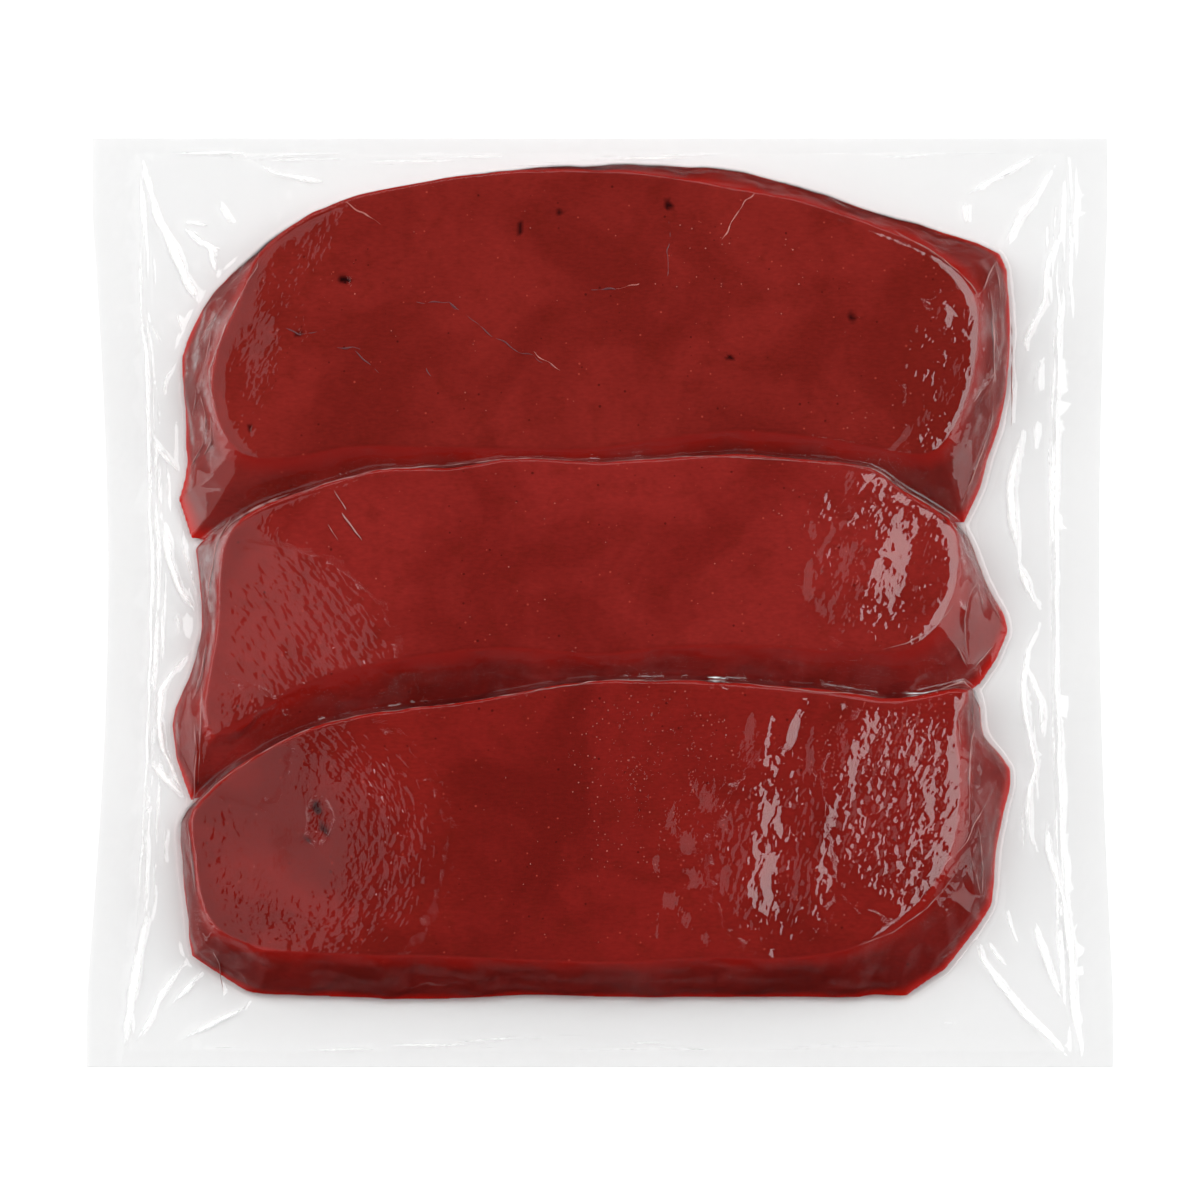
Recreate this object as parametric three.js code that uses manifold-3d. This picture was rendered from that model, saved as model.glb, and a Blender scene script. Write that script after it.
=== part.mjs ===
// Vacuum pack of raw beef liver: three thick slices laid one over the foot of the next, in a clear bag.
//
// Millimetres, +Z up, +X to the right, +Y towards the back slice. The pack lies flat with its shown
// side up. The origin is under the middle of the bag, on the surface that it rests on.
//
// The bag's web under the slices, its margins, seals and creases are one thin solid. The film that is
// drawn tight over the slices is thinner than any solid here, so the slices' own tops stand for it.

import * as THREE from 'three';
import { mergeVertices } from 'three/addons/utils/BufferGeometryUtils.js';
import Module from 'manifold-3d';

const wasm = await Module();
wasm.setup();

// ---------------------------------------------------------------------------------------- sizes

const BAG = {
  width: 260,          // across the side seals, at the top and bottom edges
  depth: 240,          // from the bottom seal to the top seal
  bow: { left: 4.6, right: 2.8 },          // how far each side edge is drawn in at half depth
  bowReach: 0.84,      // share of the half depth over which a side is drawn in
  web: 0.5,            // thickness of the doubled film between and under the slices
  seal: 0.9,           // thickness along the heat seals
  sideSeal: 11,        // width of the left and right seals
  endSeal: 4,          // width of the top and bottom seals
  endInset: 1,         // how far the top and bottom seals stop short of the bag's corners
  edgeSteps: 20,       // straight pieces along each bowed side
};

const SLICE_REST = 0.8;      // height of the slices' undersides: the web plus a clear gap
const TOUCH_GAP = 0.3;       // gap kept where one slice lies against the next

const RING_STEPS = 132;      // points round each slice
const DIRECTION_REACH = 2;   // rim points each way from which a point's outward direction is taken
const LEAST_FLARE = 0.5;     // a foot never stands out less than this
const FOOT_ROUND = 1.0;      // how far the underside is drawn in from the foot
const FOOT_HEIGHT = 0.9;     // height of the foot's widest line above the underside
const FOOT_PULL = 0.95;      // share of a spur's pull that reaches the underside
const PULL_FADE = 1.5;       // power by which a spur's pull fades up the wall
const WALL_LEVELS = [0.3, 0.62, 0.86];   // wall rings, as shares of the way from foot to rim
const WALL_BULGE = 0.9;      // how far the wall's middle stands out past a straight slope
const FULL_FLARE = 6;        // flare from which a wall has its full bulge and pleats
const EDGE_DROP = 0.5;       // fall across the rounded upper edge, as a share of its width
const TOP_LEVELS = [0.45, 1.0];          // rings across the rounded edge, as shares of its width
const CROWN_LEVELS = [0.3, 0.62];        // rings across the top face, as shares of the way inwards

const CRUMPLE = [            // pleats that the film presses into the walls
  { depth: 0.55, across: 23, drift: 1.9 },
  { depth: 0.35, across: 11, drift: 4.4 },
];

// Each slice's rim, counter-clockwise from its right front corner. A station holds the rim's x and y,
// the flare by which the foot stands out past the rim, and the width of the rounded upper edge.
// A spur is a point that the drawn film has pulled out of the foot, with the span of foot it moves.
const SLICES = {
  slice_back: {
    colour: 0x7c221d, height: 14.4, crown: 0.9, spine: [-52, 72, 50, 72],
    stations: [
      [86, 36, 12, 1.2], [92.5, 46, 9.5, 1.2], [96, 59.5, 8.5, 1.2], [96.5, 73, 8.5, 1.2],
      [92.5, 81.5, 11.5, 1.2], [83, 89, 7.5, 1.2], [69, 95, 5.5, 1.2], [51, 101, 5.5, 1.2],
      [33, 104.5, 7, 1.2], [12.5, 108, 4.5, 1.2], [-10, 109, 3, 1.2], [-33, 107.8, 1.2, 1.4],
      [-51, 104.8, 0.8, 1.4], [-66.5, 100.8, 0.6, 1.4], [-77.5, 95.2, 0.6, 1.4], [-87, 87, 3, 1.2],
      [-92.5, 74, 8.5, 1.2], [-97.5, 62.5, 8.5, 1.2], [-99, 51.5, 7, 1.2], [-96.5, 41, 10, 1.4],
      [-89.5, 34, 18, 1.4], [-77.5, 34, 16, 1.2], [-63.5, 36.5, 15, 1.2], [-43.5, 36.5, 13.5, 1.2],
      [-2.5, 36, 11.5, 1.2], [15.5, 38.5, 12.5, 1.2], [34.5, 40.5, 13.5, 1.4], [53.5, 39, 13.5, 1.4],
      [69, 36.5, 13, 1.2], [80.5, 34.5, 13.5, 1.2],
    ],
    spurs: [
      { at: [102.5, 89.5], span: 9 }, { at: [-107, 62.5], span: 12 }, { at: [-105.5, 27], span: 10 },
      { at: [-103.5, 15], span: 12 }, { at: [93, 19.5], span: 12 },
    ],
  },
  slice_middle: {
    colour: 0x7b1f1d, height: 15.2, crown: 0.7, spine: [-62, 4, 54, 10],
    stations: [
      [77.5, -16, 13.5, 1.2], [85.5, -10.5, 15.5, 1.2], [89.5, -2.5, 14, 1.2], [91.5, 6.5, 6, 1.2],
      [90.5, 15, 3.5, 1.4], [86, 20, 2, 1.4], [76.5, 26, 1, 1.4], [69, 31.5, 1, 1.2],
      [52.5, 33.5, 1, 1.2], [35.5, 35, 1, 1.2], [18, 34, 1, 1.2], [0, 33, 1, 1.2],
      [-20.5, 34, 1, 1.2], [-38, 31.5, 1, 1.2], [-56, 31, 1, 1.4], [-74, 26, 1, 1.4],
      [-88, 20.5, 1, 1.6], [-95, 14, 4, 1.6], [-97, 4, 4.5, 1.6], [-97.5, -9, 4, 1.6],
      [-99.5, -21, 5, 1.6], [-101, -31, 7.5, 2.8], [-99.5, -39, 7.5, 6.5], [-93.5, -38.5, 9, 9],
      [-85, -31, 12, 3.4], [-71.5, -23.5, 13.5, 1.2], [-51, -18.5, 13.5, 1.2], [-25.5, -15.5, 13, 1.2],
      [0, -17, 11.5, 1.2], [20.5, -15, 12, 1.2], [41, -15, 12, 1.2], [61, -16.5, 12.5, 1.2],
    ],
    spurs: [
      { at: [104, -8.5], span: 9 }, { at: [97, -22], span: 10 }, { at: [-108.8, -32.5], span: 8 },
      { at: [-104, -52], span: 12 }, { at: [-103, 13], span: 10 },
    ],
  },
  slice_front: {
    colour: 0x731d1a, height: 16, crown: 0.8, spine: [-66, -62, 52, -58],
    stations: [
      [77.5, -84, 14, 1.4], [86, -74, 13.5, 1.4], [90.5, -62, 10.5, 1.4], [91.5, -48, 12, 1.4],
      [90.5, -35, 7.5, 1.6], [93.5, -25.5, 2, 2.8], [84, -26.5, 1.5, 3.4], [74, -28, 1, 2.8],
      [56, -25.5, 1, 2.8], [35.5, -24, 1, 2.2], [12.5, -23.5, 1, 1.2], [-7.5, -24, 1, 1.2],
      [-28, -28, 1, 1.2], [-51, -31, 1, 1.2], [-71.5, -35, 1, 1.4], [-89, -43.5, 1, 1.6],
      [-98, -50, 1.5, 2.2], [-104, -57.5, 2, 2.2], [-103, -67.5, 3, 1.6], [-101, -80, 4, 1.6],
      [-97, -87, 6.5, 1.6], [-86, -92, 8.5, 1.4], [-65, -94, 8.5, 1.2], [-41, -94.5, 8.5, 1.2],
      [-18, -95.5, 6.5, 1.2], [5, -96, 6.5, 1.2], [28, -95, 7.5, 1.2], [48.5, -95, 7.5, 1.2],
      [66.5, -91.5, 11, 1.4],
    ],
    spurs: [
      { at: [104.5, -44], span: 9 }, { at: [99.5, -79], span: 9 }, { at: [87.5, -95.5], span: 6 },
      { at: [77.5, -102.3], span: 9 }, { at: [-103.5, -92], span: 8 }, { at: [-89.5, -101], span: 10 },
      { at: [-106.5, -57.5], span: 6 },
    ],
  },
};

const CREASE_OVERLAP = 0.4;  // how far one straight piece of a crease runs into the next
const CREASE_TIP = 0.25;     // share of a crease's section that is left at its free ends

// Creases in the film margins, each a route of x, y points with its width and height.
const CREASES = [
  { width: 3.0, height: 1.4, route: [[-117, 112], [-114, 100], [-108, 88], [-103, 76]] },
  { width: 2.4, height: 1.0, route: [[-116, 116], [-102, 116], [-91, 116], [-83, 111], [-69, 108]] },
  { width: 3.4, height: 1.2, route: [[-107, 98], [-99, 92]] },
  { width: 3.0, height: 1.0, route: [[-116, 40], [-113, 37], [-107, 31]] },
  { width: 3.0, height: 1.5, route: [[-112, 21], [-110, 10], [-107, 2], [-103.5, -5]] },
  { width: 3.0, height: 1.3, route: [[-104, -13], [-110, -20], [-112, -28], [-111, -39], [-107, -49]] },
  { width: 3.6, height: 1.2, route: [[-117, -42], [-112, -46], [-107, -51]] },
  { width: 4.0, height: 1.3, route: [[-114, -78], [-117, -92], [-119, -104], [-121, -115]] },
  { width: 2.6, height: 1.2, route: [[-106, -94], [-112, -103], [-119, -113]] },
  { width: 2.6, height: 1.2, route: [[-102, -96], [-109, -105]] },
  { width: 2.6, height: 1.2, route: [[-91, -105], [-98, -109], [-108, -114]] },
  { width: 2.8, height: 1.4, route: [[97, -91], [103, -100], [109, -108], [118, -117]] },
  { width: 2.2, height: 1.0, route: [[103, -80], [107, -89]] },
  { width: 2.6, height: 1.2, route: [[110, -84], [114, -95], [118, -104]] },
  { width: 3.4, height: 1.3, route: [[110, -58], [115, -70], [119, -86], [121, -104]] },
  { width: 2.6, height: 1.2, route: [[111, -7], [108, -15], [108, -28], [110, -42], [109, -56], [111, -67]] },
  { width: 3.0, height: 1.4, route: [[107, 42], [105, 30], [105, 20], [107, 8], [111, -2]] },
  { width: 2.6, height: 1.0, route: [[115, 46], [115, 20], [116, 6], [116, -24], [118, -50]] },
  { width: 2.4, height: 1.0, route: [[116, 98], [114, 86], [110, 70], [108, 64]] },
  { width: 3.0, height: 1.3, route: [[116, 111], [110, 101], [104, 93]] },
  { width: 2.8, height: 1.3, route: [[115, 116], [105, 112], [96, 106]] },
];

// -------------------------------------------------------------------------------------- solids

/** Closed geometry (shared vertices, position only) to a solid for cutting and joining. */
function toSolid(geometry) {
  const bare = geometry.clone();
  bare.deleteAttribute('normal');
  bare.deleteAttribute('uv');
  const merged = mergeVertices(bare, 1e-4);
  return new wasm.Manifold(new wasm.Mesh({
    numProp: 3,
    vertProperties: new Float32Array(merged.attributes.position.array),
    triVerts: new Uint32Array(merged.index.array),
  }));
}

/** Solid back to geometry, with normals. */
function toGeometry(solid) {
  const { vertProperties, triVerts } = solid.getMesh();
  const geometry = new THREE.BufferGeometry();
  geometry.setAttribute('position', new THREE.BufferAttribute(new Float32Array(vertProperties), 3));
  geometry.setIndex(new THREE.BufferAttribute(new Uint32Array(triVerts), 1));
  geometry.computeVertexNormals();
  return geometry;
}

/** Stacked rings of equal point count, capped at both ends, as one closed geometry. */
function skinRings(rings) {
  const count = rings[0].length;
  const positions = rings.flat().flatMap((point) => [point.x, point.y, point.z]);
  const index = [];
  for (let level = 0; level + 1 < rings.length; level += 1) {
    for (let i = 0; i < count; i += 1) {
      const next = (i + 1) % count;
      const low = level * count;
      const high = low + count;
      index.push(low + i, low + next, high + next, low + i, high + next, high + i);
    }
  }
  const cap = (ring, offset, facingUp) => {
    const flat = ring.map((point) => new THREE.Vector2(point.x, point.y));
    for (const [a, b, c] of THREE.ShapeUtils.triangulateShape(flat, [])) {
      const turn = (flat[b].x - flat[a].x) * (flat[c].y - flat[a].y)
        - (flat[b].y - flat[a].y) * (flat[c].x - flat[a].x);
      const upwards = turn > 0;
      index.push(...(upwards === facingUp ? [a, b, c] : [a, c, b]).map((i) => i + offset));
    }
  };
  cap(rings[0], 0, false);
  cap(rings.at(-1), (rings.length - 1) * count, true);
  const geometry = new THREE.BufferGeometry();
  geometry.setAttribute('position', new THREE.Float32BufferAttribute(positions, 3));
  geometry.setIndex(index);
  return geometry;
}

// -------------------------------------------------------------------------------------- slices

/** Rim points of a slice, evenly spaced, each with its outward direction, flare, edge and foot pull. */
function rimPoints({ stations, spurs }) {
  const rim = new THREE.CatmullRomCurve3(
    stations.map(([x, y, flare]) => new THREE.Vector3(x, y, flare)), true, 'centripetal');
  const edge = new THREE.CatmullRomCurve3(
    stations.map(([, , , width]) => new THREE.Vector3(width, 0, 0)), true, 'catmullrom');
  const points = [];
  for (let i = 0; i < RING_STEPS; i += 1) {
    const t = rim.getUtoTmapping(i / RING_STEPS);
    const place = rim.getPoint(t);
    const flare = Math.max(place.z, LEAST_FLARE);
    points.push({ x: place.x, y: place.y, flare, edge: edge.getPoint(t).x });
  }
  points.forEach((point, i) => {
    const before = points[(i - DIRECTION_REACH + RING_STEPS) % RING_STEPS];
    const after = points[(i + DIRECTION_REACH) % RING_STEPS];
    point.out = new THREE.Vector2(after.y - before.y, before.x - after.x).normalize();
    point.pull = new THREE.Vector2();
  });
  pullFoot(points, spurs);
  return points;
}

/** Gives each rim point the sideways pull that the spurs put on its foot, full at the spur itself. */
function pullFoot(points, spurs) {
  const feet = points.map(
    ({ x, y, out, flare }) => new THREE.Vector2(x + out.x * flare, y + out.y * flare));
  for (const { at, span } of spurs) {
    const spur = new THREE.Vector2(...at);
    const nearest = feet.reduce(
      (best, foot) => (foot.distanceTo(spur) < best.distanceTo(spur) ? foot : best));
    const pull = spur.clone().sub(nearest);
    points.forEach((point, i) => {
      const weight = Math.max(0, 1 - feet[i].distanceTo(nearest) / span);
      point.pull.addScaledVector(pull, weight);
    });
  }
}

/** Nearest point to (x, y) on the slice's spine, the line that its top face gathers to. */
function nearestOnSpine([x0, y0, x1, y1], x, y) {
  const along = ((x - x0) * (x1 - x0) + (y - y0) * (y1 - y0)) / ((x1 - x0) ** 2 + (y1 - y0) ** 2);
  const share = THREE.MathUtils.clamp(along, 0, 1);
  return new THREE.Vector2(x0 + share * (x1 - x0), y0 + share * (y1 - y0));
}

/** Inward or outward push of the wall at a share of the way round, from the pleats in the film. */
function crumple(share, girth, phase) {
  return CRUMPLE.reduce((sum, { depth, across, drift }) => {
    const turns = Math.round(girth / across);
    return sum + depth * Math.sin(2 * Math.PI * turns * share + phase * drift);
  }, 0);
}

/** One slice as a closed geometry, grown outwards and upwards by `grow` for use as a cutter. */
function sliceGeometry({ height, crown, spine, stations, spurs }, grow = 0) {
  const rim = rimPoints({ stations, spurs });
  const girth = rim.reduce((sum, { x, y }, i) => {
    const next = rim[(i + 1) % RING_STEPS];
    return sum + Math.hypot(next.x - x, next.y - y);
  }, 0);
  const top = SLICE_REST + height + grow;
  const underside = SLICE_REST - grow;
  const foot = SLICE_REST + FOOT_HEIGHT;
  const at = ({ x, y, out, pull }, reach, z, pulled = 0) => new THREE.Vector3(
    x + out.x * (reach + grow) + pull.x * pulled, y + out.y * (reach + grow) + pull.y * pulled, z);
  const drop = ({ edge }) => EDGE_DROP * edge;

  const rings = [];
  rings.push(rim.map((point) => at(point, point.flare - FOOT_ROUND, underside, FOOT_PULL)));
  rings.push(rim.map((point) => at(point, point.flare, foot, 1)));
  for (const level of WALL_LEVELS) {
    rings.push(rim.map((point, i) => {
      const z = THREE.MathUtils.lerp(foot, top - drop(point), level);
      const hump = Math.sin(Math.PI * level) * Math.min(1, point.flare / FULL_FLARE);
      const pleat = crumple(i / RING_STEPS, girth, level);
      const reach = point.flare * (1 - level) + hump * (WALL_BULGE + pleat);
      return at(point, reach, z, (1 - level) ** PULL_FADE);
    }));
  }
  rings.push(rim.map((point) => at(point, 0, top - drop(point))));
  const inside = (point, distance, z) => {
    const edge = at(point, 0, 0);
    const centre = nearestOnSpine(spine, edge.x, edge.y);
    const share = distance / Math.hypot(centre.x - edge.x, centre.y - edge.y);
    const place = new THREE.Vector2(edge.x, edge.y).lerp(centre, share);
    return new THREE.Vector3(place.x, place.y, z);
  };
  for (const level of TOP_LEVELS) {
    const fall = (1 - level) ** 2;
    rings.push(rim.map((point) => inside(point, point.edge * level, top - drop(point) * fall)));
  }
  for (const level of CROWN_LEVELS) {
    rings.push(rings.at(-1).map((point, i) => {
      const flat = inside(rim[i], rim[i].edge, 0);
      const centre = nearestOnSpine(spine, flat.x, flat.y);
      const place = new THREE.Vector2(flat.x, flat.y).lerp(centre, level);
      return new THREE.Vector3(place.x, place.y, top + crown * (1 - (1 - level) ** 2));
    }));
  }
  return skinRings(rings);
}

/** The slices front over middle over back: each is cut away where the one behind it already lies. */
function makeSlices() {
  const solids = {};
  let behind = null;
  for (const [name, slice] of Object.entries(SLICES)) {
    const whole = toSolid(sliceGeometry(slice));
    solids[name] = behind ? whole.subtract(toSolid(sliceGeometry(behind, TOUCH_GAP))) : whole;
    behind = slice;
  }
  return solids;
}

// ----------------------------------------------------------------------------------------- bag

/** Distance of a side edge from the middle at depth y: widest at the ends, drawn in between them. */
function halfWidth(y, bow) {
  const share = Math.min(1, Math.abs(y) / (BAG.bowReach * BAG.depth / 2));
  return BAG.width / 2 - bow * Math.cos(share * Math.PI / 2);
}

/** Points along a side, from the bottom seal to the top seal, `inset` from its edge. */
function sidePoints(side, inset) {
  const bow = side > 0 ? BAG.bow.right : BAG.bow.left;
  return Array.from({ length: BAG.edgeSteps + 1 }, (_, i) => {
    const y = THREE.MathUtils.lerp(-BAG.depth / 2, BAG.depth / 2, i / BAG.edgeSteps);
    return new THREE.Vector2(side * (halfWidth(y, bow) - inset), y);
  });
}

/** Flat slab of the given outline, from the floor up to `thickness`. */
function slab(points, thickness) {
  const shape = new THREE.Shape(points);
  return toSolid(new THREE.ExtrudeGeometry(shape, { depth: thickness, bevelEnabled: false }));
}

/** Roof-shaped ridge of one crease piece, sunk into the web, pointed at its free ends. */
function ridge(from, to, width, height, bluntStart, bluntEnd) {
  const a = new THREE.Vector2(...from);
  const b = new THREE.Vector2(...to);
  const along = b.clone().sub(a).normalize();
  const side = new THREE.Vector2(-along.y, along.x).multiplyScalar(width / 2);
  const sunk = BAG.web / 2;
  const section = (centre, share) => [
    new THREE.Vector3(centre.x - side.x * share, centre.y - side.y * share, sunk),
    new THREE.Vector3(centre.x + side.x * share, centre.y + side.y * share, sunk),
    new THREE.Vector3(centre.x, centre.y, BAG.web + height * share),
  ];
  const ending = (centre, direction, blunt) => section(
    centre.clone().addScaledVector(along, blunt ? direction * CREASE_OVERLAP : 0), blunt ? 1 : CREASE_TIP);
  const corners = [...ending(a, -1, bluntStart), ...ending(b, 1, bluntEnd)];
  const positions = corners.flatMap((point) => [point.x, point.y, point.z]);
  const geometry = new THREE.BufferGeometry();
  geometry.setAttribute('position', new THREE.Float32BufferAttribute(positions, 3));
  geometry.setIndex([0, 2, 1, 3, 4, 5, 0, 1, 4, 0, 4, 3, 1, 2, 5, 1, 5, 4, 2, 0, 3, 2, 3, 5]);
  return toSolid(geometry);
}

/** The bag: web, four heat seals and the creases of its margins, as one solid. */
function makeBag() {
  const right = sidePoints(1, 0);
  const left = sidePoints(-1, 0);
  let bag = slab([...right, ...left.toReversed()], BAG.web);
  bag = bag.add(slab([...right, ...sidePoints(1, BAG.sideSeal).reverse()], BAG.seal));
  bag = bag.add(slab([...left.toReversed(), ...sidePoints(-1, BAG.sideSeal)], BAG.seal));

  for (const end of [-1, 1]) {
    const outer = end * BAG.depth / 2;
    const inner = outer - end * BAG.endSeal;
    const reach = BAG.width / 2 - BAG.endInset;
    const band = [[-reach, outer], [reach, outer], [reach, inner], [-reach, inner]];
    bag = bag.add(slab(band.map((corner) => new THREE.Vector2(...corner)), BAG.seal));
  }

  for (const { width, height, route } of CREASES) {
    for (let i = 0; i + 1 < route.length; i += 1) {
      bag = bag.add(ridge(route[i], route[i + 1], width, height, i > 0, i + 2 < route.length));
    }
  }
  return bag;
}

// ---------------------------------------------------------------------------------------- scene

/** One named mesh with its own material. */
function piece(name, geometry, look) {
  const mesh = new THREE.Mesh(geometry, new THREE.MeshStandardMaterial(look));
  mesh.name = name;
  return mesh;
}

const pack = new THREE.Group();
pack.add(piece('pouch', toGeometry(makeBag()), {
  color: 0xf0f0f0, roughness: 0.12, metalness: 0, transparent: true, opacity: 0.35,
}));
const slices = makeSlices();
for (const [name, { colour }] of Object.entries(SLICES)) {
  pack.add(piece(name, toGeometry(slices[name]), { color: colour, roughness: 0.35, metalness: 0 }));
}

export default pack;
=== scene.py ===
"""Looks of a clear vacuum pack with three slices of raw beef liver.

The pack lies flat with its shown side up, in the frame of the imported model: X to the right along the
slices, Y towards the back slice, Z up. Blender works in metres. The sizes and places in this file are
in millimetres, unless a name or a comment says otherwise, and MM turns them into metres.
"""

import logging
import math
from dataclasses import dataclass, field
from enum import Enum

import bmesh
import bpy
import numpy as np
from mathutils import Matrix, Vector
from mathutils.bvhtree import BVHTree


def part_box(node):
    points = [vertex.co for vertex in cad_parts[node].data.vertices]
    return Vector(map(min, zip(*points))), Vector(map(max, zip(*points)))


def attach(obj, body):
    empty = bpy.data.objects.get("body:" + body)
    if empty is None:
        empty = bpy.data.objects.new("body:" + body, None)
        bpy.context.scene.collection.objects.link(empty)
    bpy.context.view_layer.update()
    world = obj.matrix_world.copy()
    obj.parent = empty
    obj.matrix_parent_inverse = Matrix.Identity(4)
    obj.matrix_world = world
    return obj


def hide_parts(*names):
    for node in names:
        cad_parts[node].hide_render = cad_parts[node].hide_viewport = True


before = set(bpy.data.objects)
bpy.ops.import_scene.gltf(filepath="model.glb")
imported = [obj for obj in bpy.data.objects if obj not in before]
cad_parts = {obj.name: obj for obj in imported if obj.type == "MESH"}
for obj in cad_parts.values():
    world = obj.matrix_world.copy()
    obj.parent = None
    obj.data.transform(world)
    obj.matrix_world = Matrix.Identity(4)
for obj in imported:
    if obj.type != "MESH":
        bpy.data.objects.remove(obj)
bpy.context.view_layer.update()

LOG = logging.getLogger("liver_pack")

MM = 0.001
BODY = "root"
TOP_FACE = 9.0     # height over which the meat is a slice's top face or the upper part of its wall

Point = tuple[float, float]
Route = tuple[Point, ...]
Grid = np.ndarray


# ------------------------------------------------------------------------------------ small tools


def linear(colour: str) -> tuple[float, float, float, float]:
    """Turns an sRGB hex colour into the linear colour that shaders take.

    Args:
        colour: Six hex digits, such as "7b1f1d".

    Returns:
        Red, green, blue and an alpha of 1.
    """
    shares = [int(colour[i:i + 2], 16) / 255 for i in (0, 2, 4)]
    bent = [c / 12.92 if c <= 0.04045 else ((c + 0.055) / 1.055) ** 2.4 for c in shares]
    return (bent[0], bent[1], bent[2], 1.0)


def ease(start: float, end: float, value: Grid) -> Grid:
    """Rises smoothly from 0 at `start` to 1 at `end`, or falls where `end` is the smaller.

    Args:
        start: Value at which the result is 0.
        end: Value at which the result is 1.
        value: Numbers to turn into shares.

    Returns:
        Shares from 0 to 1, in the shape of `value`.
    """
    share = np.clip((value - start) / (end - start), 0.0, 1.0)
    return share * share * (3.0 - 2.0 * share)


def soft_noise(x: Grid, y: Grid, cell: float, seed: int) -> Grid:
    """Gives smooth random values from -1 to 1 that change over about one cell.

    Args:
        x: Places along X.
        y: Places along Y.
        cell: Distance over which the value changes, in the unit of x and y.
        seed: Which pattern to draw.

    Returns:
        One value for each place.
    """
    size = 64
    lattice = np.random.default_rng(seed).uniform(-1.0, 1.0, (size, size))
    across, along = x / cell + size, y / cell + size
    column, row = np.floor(across).astype(int), np.floor(along).astype(int)
    u = ease(0.0, 1.0, across - column)
    v = ease(0.0, 1.0, along - row)

    def corner(right: int, up: int) -> Grid:
        """Reads the lattice at one corner of each place's cell."""
        return lattice[(column + right) % size, (row + up) % size]

    near = corner(0, 0) * (1 - u) + corner(1, 0) * u
    far = corner(0, 1) * (1 - u) + corner(1, 1) * u
    return near * (1 - v) + far * v


def follow_route(x: Grid, y: Grid, route: Route) -> tuple[Grid, Grid]:
    """Measures how places lie beside a route.

    Args:
        x: Places along X.
        y: Places along Y.
        route: Points of the route, in order.

    Returns:
        The distance from the route, which is negative on the right of the way it runs, and the share
        of the way along it, from 0 to 1.
    """
    best = np.full(x.shape, np.inf)
    beside, share = np.zeros(x.shape), np.zeros(x.shape)
    steps = [math.dist(a, b) for a, b in zip(route, route[1:])]
    whole, gone = sum(steps), 0.0
    for (ax, ay), (bx, by), step in zip(route, route[1:], steps):
        dx, dy = bx - ax, by - ay
        t = np.clip(((x - ax) * dx + (y - ay) * dy) / step ** 2, 0.0, 1.0)
        away_x, away_y = x - ax - t * dx, y - ay - t * dy
        distance = np.hypot(away_x, away_y)
        closer = distance < best
        side = np.where(dx * away_y - dy * away_x < 0, -1.0, 1.0)
        beside = np.where(closer, distance * side, beside)
        share = np.where(closer, (gone + t * step) / whole, share)
        best = np.minimum(best, distance)
        gone += step
    return beside, share


def turned(x: Grid, y: Grid, centre: Point, degrees: float) -> tuple[Grid, Grid]:
    """Measures places from a centre, along and across a direction.

    Args:
        x: Places along X.
        y: Places along Y.
        centre: The centre.
        degrees: The direction, from +X towards +Y.

    Returns:
        The distances along the direction and across it.
    """
    turn = math.radians(degrees)
    dx, dy = x - centre[0], y - centre[1]
    return dx * math.cos(turn) + dy * math.sin(turn), dy * math.cos(turn) - dx * math.sin(turn)


def neighbours_mean(heights: Grid) -> Grid:
    """Gives each height's mean of its four neighbours, and leaves the grid's border as it is."""
    mean = heights.copy()
    mean[1:-1, 1:-1] = (
        heights[:-2, 1:-1] + heights[2:, 1:-1] + heights[1:-1, :-2] + heights[1:-1, 2:]) / 4
    return mean


def sheet_mesh(name: str, x: Grid, y: Grid, z: Grid) -> bpy.types.Mesh:
    """Makes a sheet of four-sided faces through rows and columns of places.

    Args:
        name: Name of the mesh.
        x: Places along X.
        y: Places along Y.
        z: Heights.

    Returns:
        The mesh.
    """
    index = np.arange(x.size).reshape(x.shape)
    quads = np.stack([index[:-1, :-1], index[:-1, 1:], index[1:, 1:], index[1:, :-1]], axis=-1)
    places = np.stack([x, y, z], axis=-1).reshape(-1, 3) * MM
    mesh = bpy.data.meshes.new(name)
    mesh.from_pydata(places.tolist(), [], quads.reshape(-1, 4).tolist())
    return mesh


def read_rows(items: bpy.types.bpy_prop_collection, name: str) -> Grid:
    """Reads three numbers of each vertex or face, such as its place or normal.

    Args:
        items: A mesh's vertices or faces.
        name: Blender's name for the three numbers.

    Returns:
        One row for each vertex or face.
    """
    rows = np.empty(len(items) * 3)
    items.foreach_get(name, rows)
    return rows.reshape(-1, 3)


def vertex_places(mesh: bpy.types.Mesh) -> Grid:
    """Reads a mesh's vertices as rows of x, y and z, in millimetres."""
    return read_rows(mesh.vertices, "co") / MM


def write_places(mesh: bpy.types.Mesh, places: Grid) -> None:
    """Writes rows of x, y and z, in millimetres, back to a mesh's vertices."""
    mesh.vertices.foreach_set("co", (places * MM).ravel())
    mesh.update()


def write_shares(mesh: bpy.types.Mesh, name: str, values: Grid) -> None:
    """Keeps one number for each vertex under a name that a material can read."""
    layer = mesh.attributes.new(name, "FLOAT", "POINT")
    layer.data.foreach_set("value", np.ascontiguousarray(values, dtype=np.float32).ravel())


def new_piece(name: str, mesh: bpy.types.Mesh) -> bpy.types.Object:
    """Puts a mesh into the scene as a smooth-shaded object at the origin."""
    mesh.name = name
    mesh.shade_smooth()
    piece = bpy.data.objects.new(name, mesh)
    bpy.context.scene.collection.objects.link(piece)
    return piece


def evaluated_mesh(made: bpy.types.Object) -> bpy.types.Mesh:
    """Turns an object with its modifiers into a plain mesh, and removes the object.

    Args:
        made: Object whose modifiers make the shape.

    Returns:
        The finished mesh, which no object uses yet.
    """
    bpy.context.view_layer.update()
    evaluated = made.evaluated_get(bpy.context.evaluated_depsgraph_get())
    mesh = bpy.data.meshes.new_from_object(evaluated)
    bpy.data.objects.remove(made)
    return mesh


# -------------------------------------------------------------------------------------- materials

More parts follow.
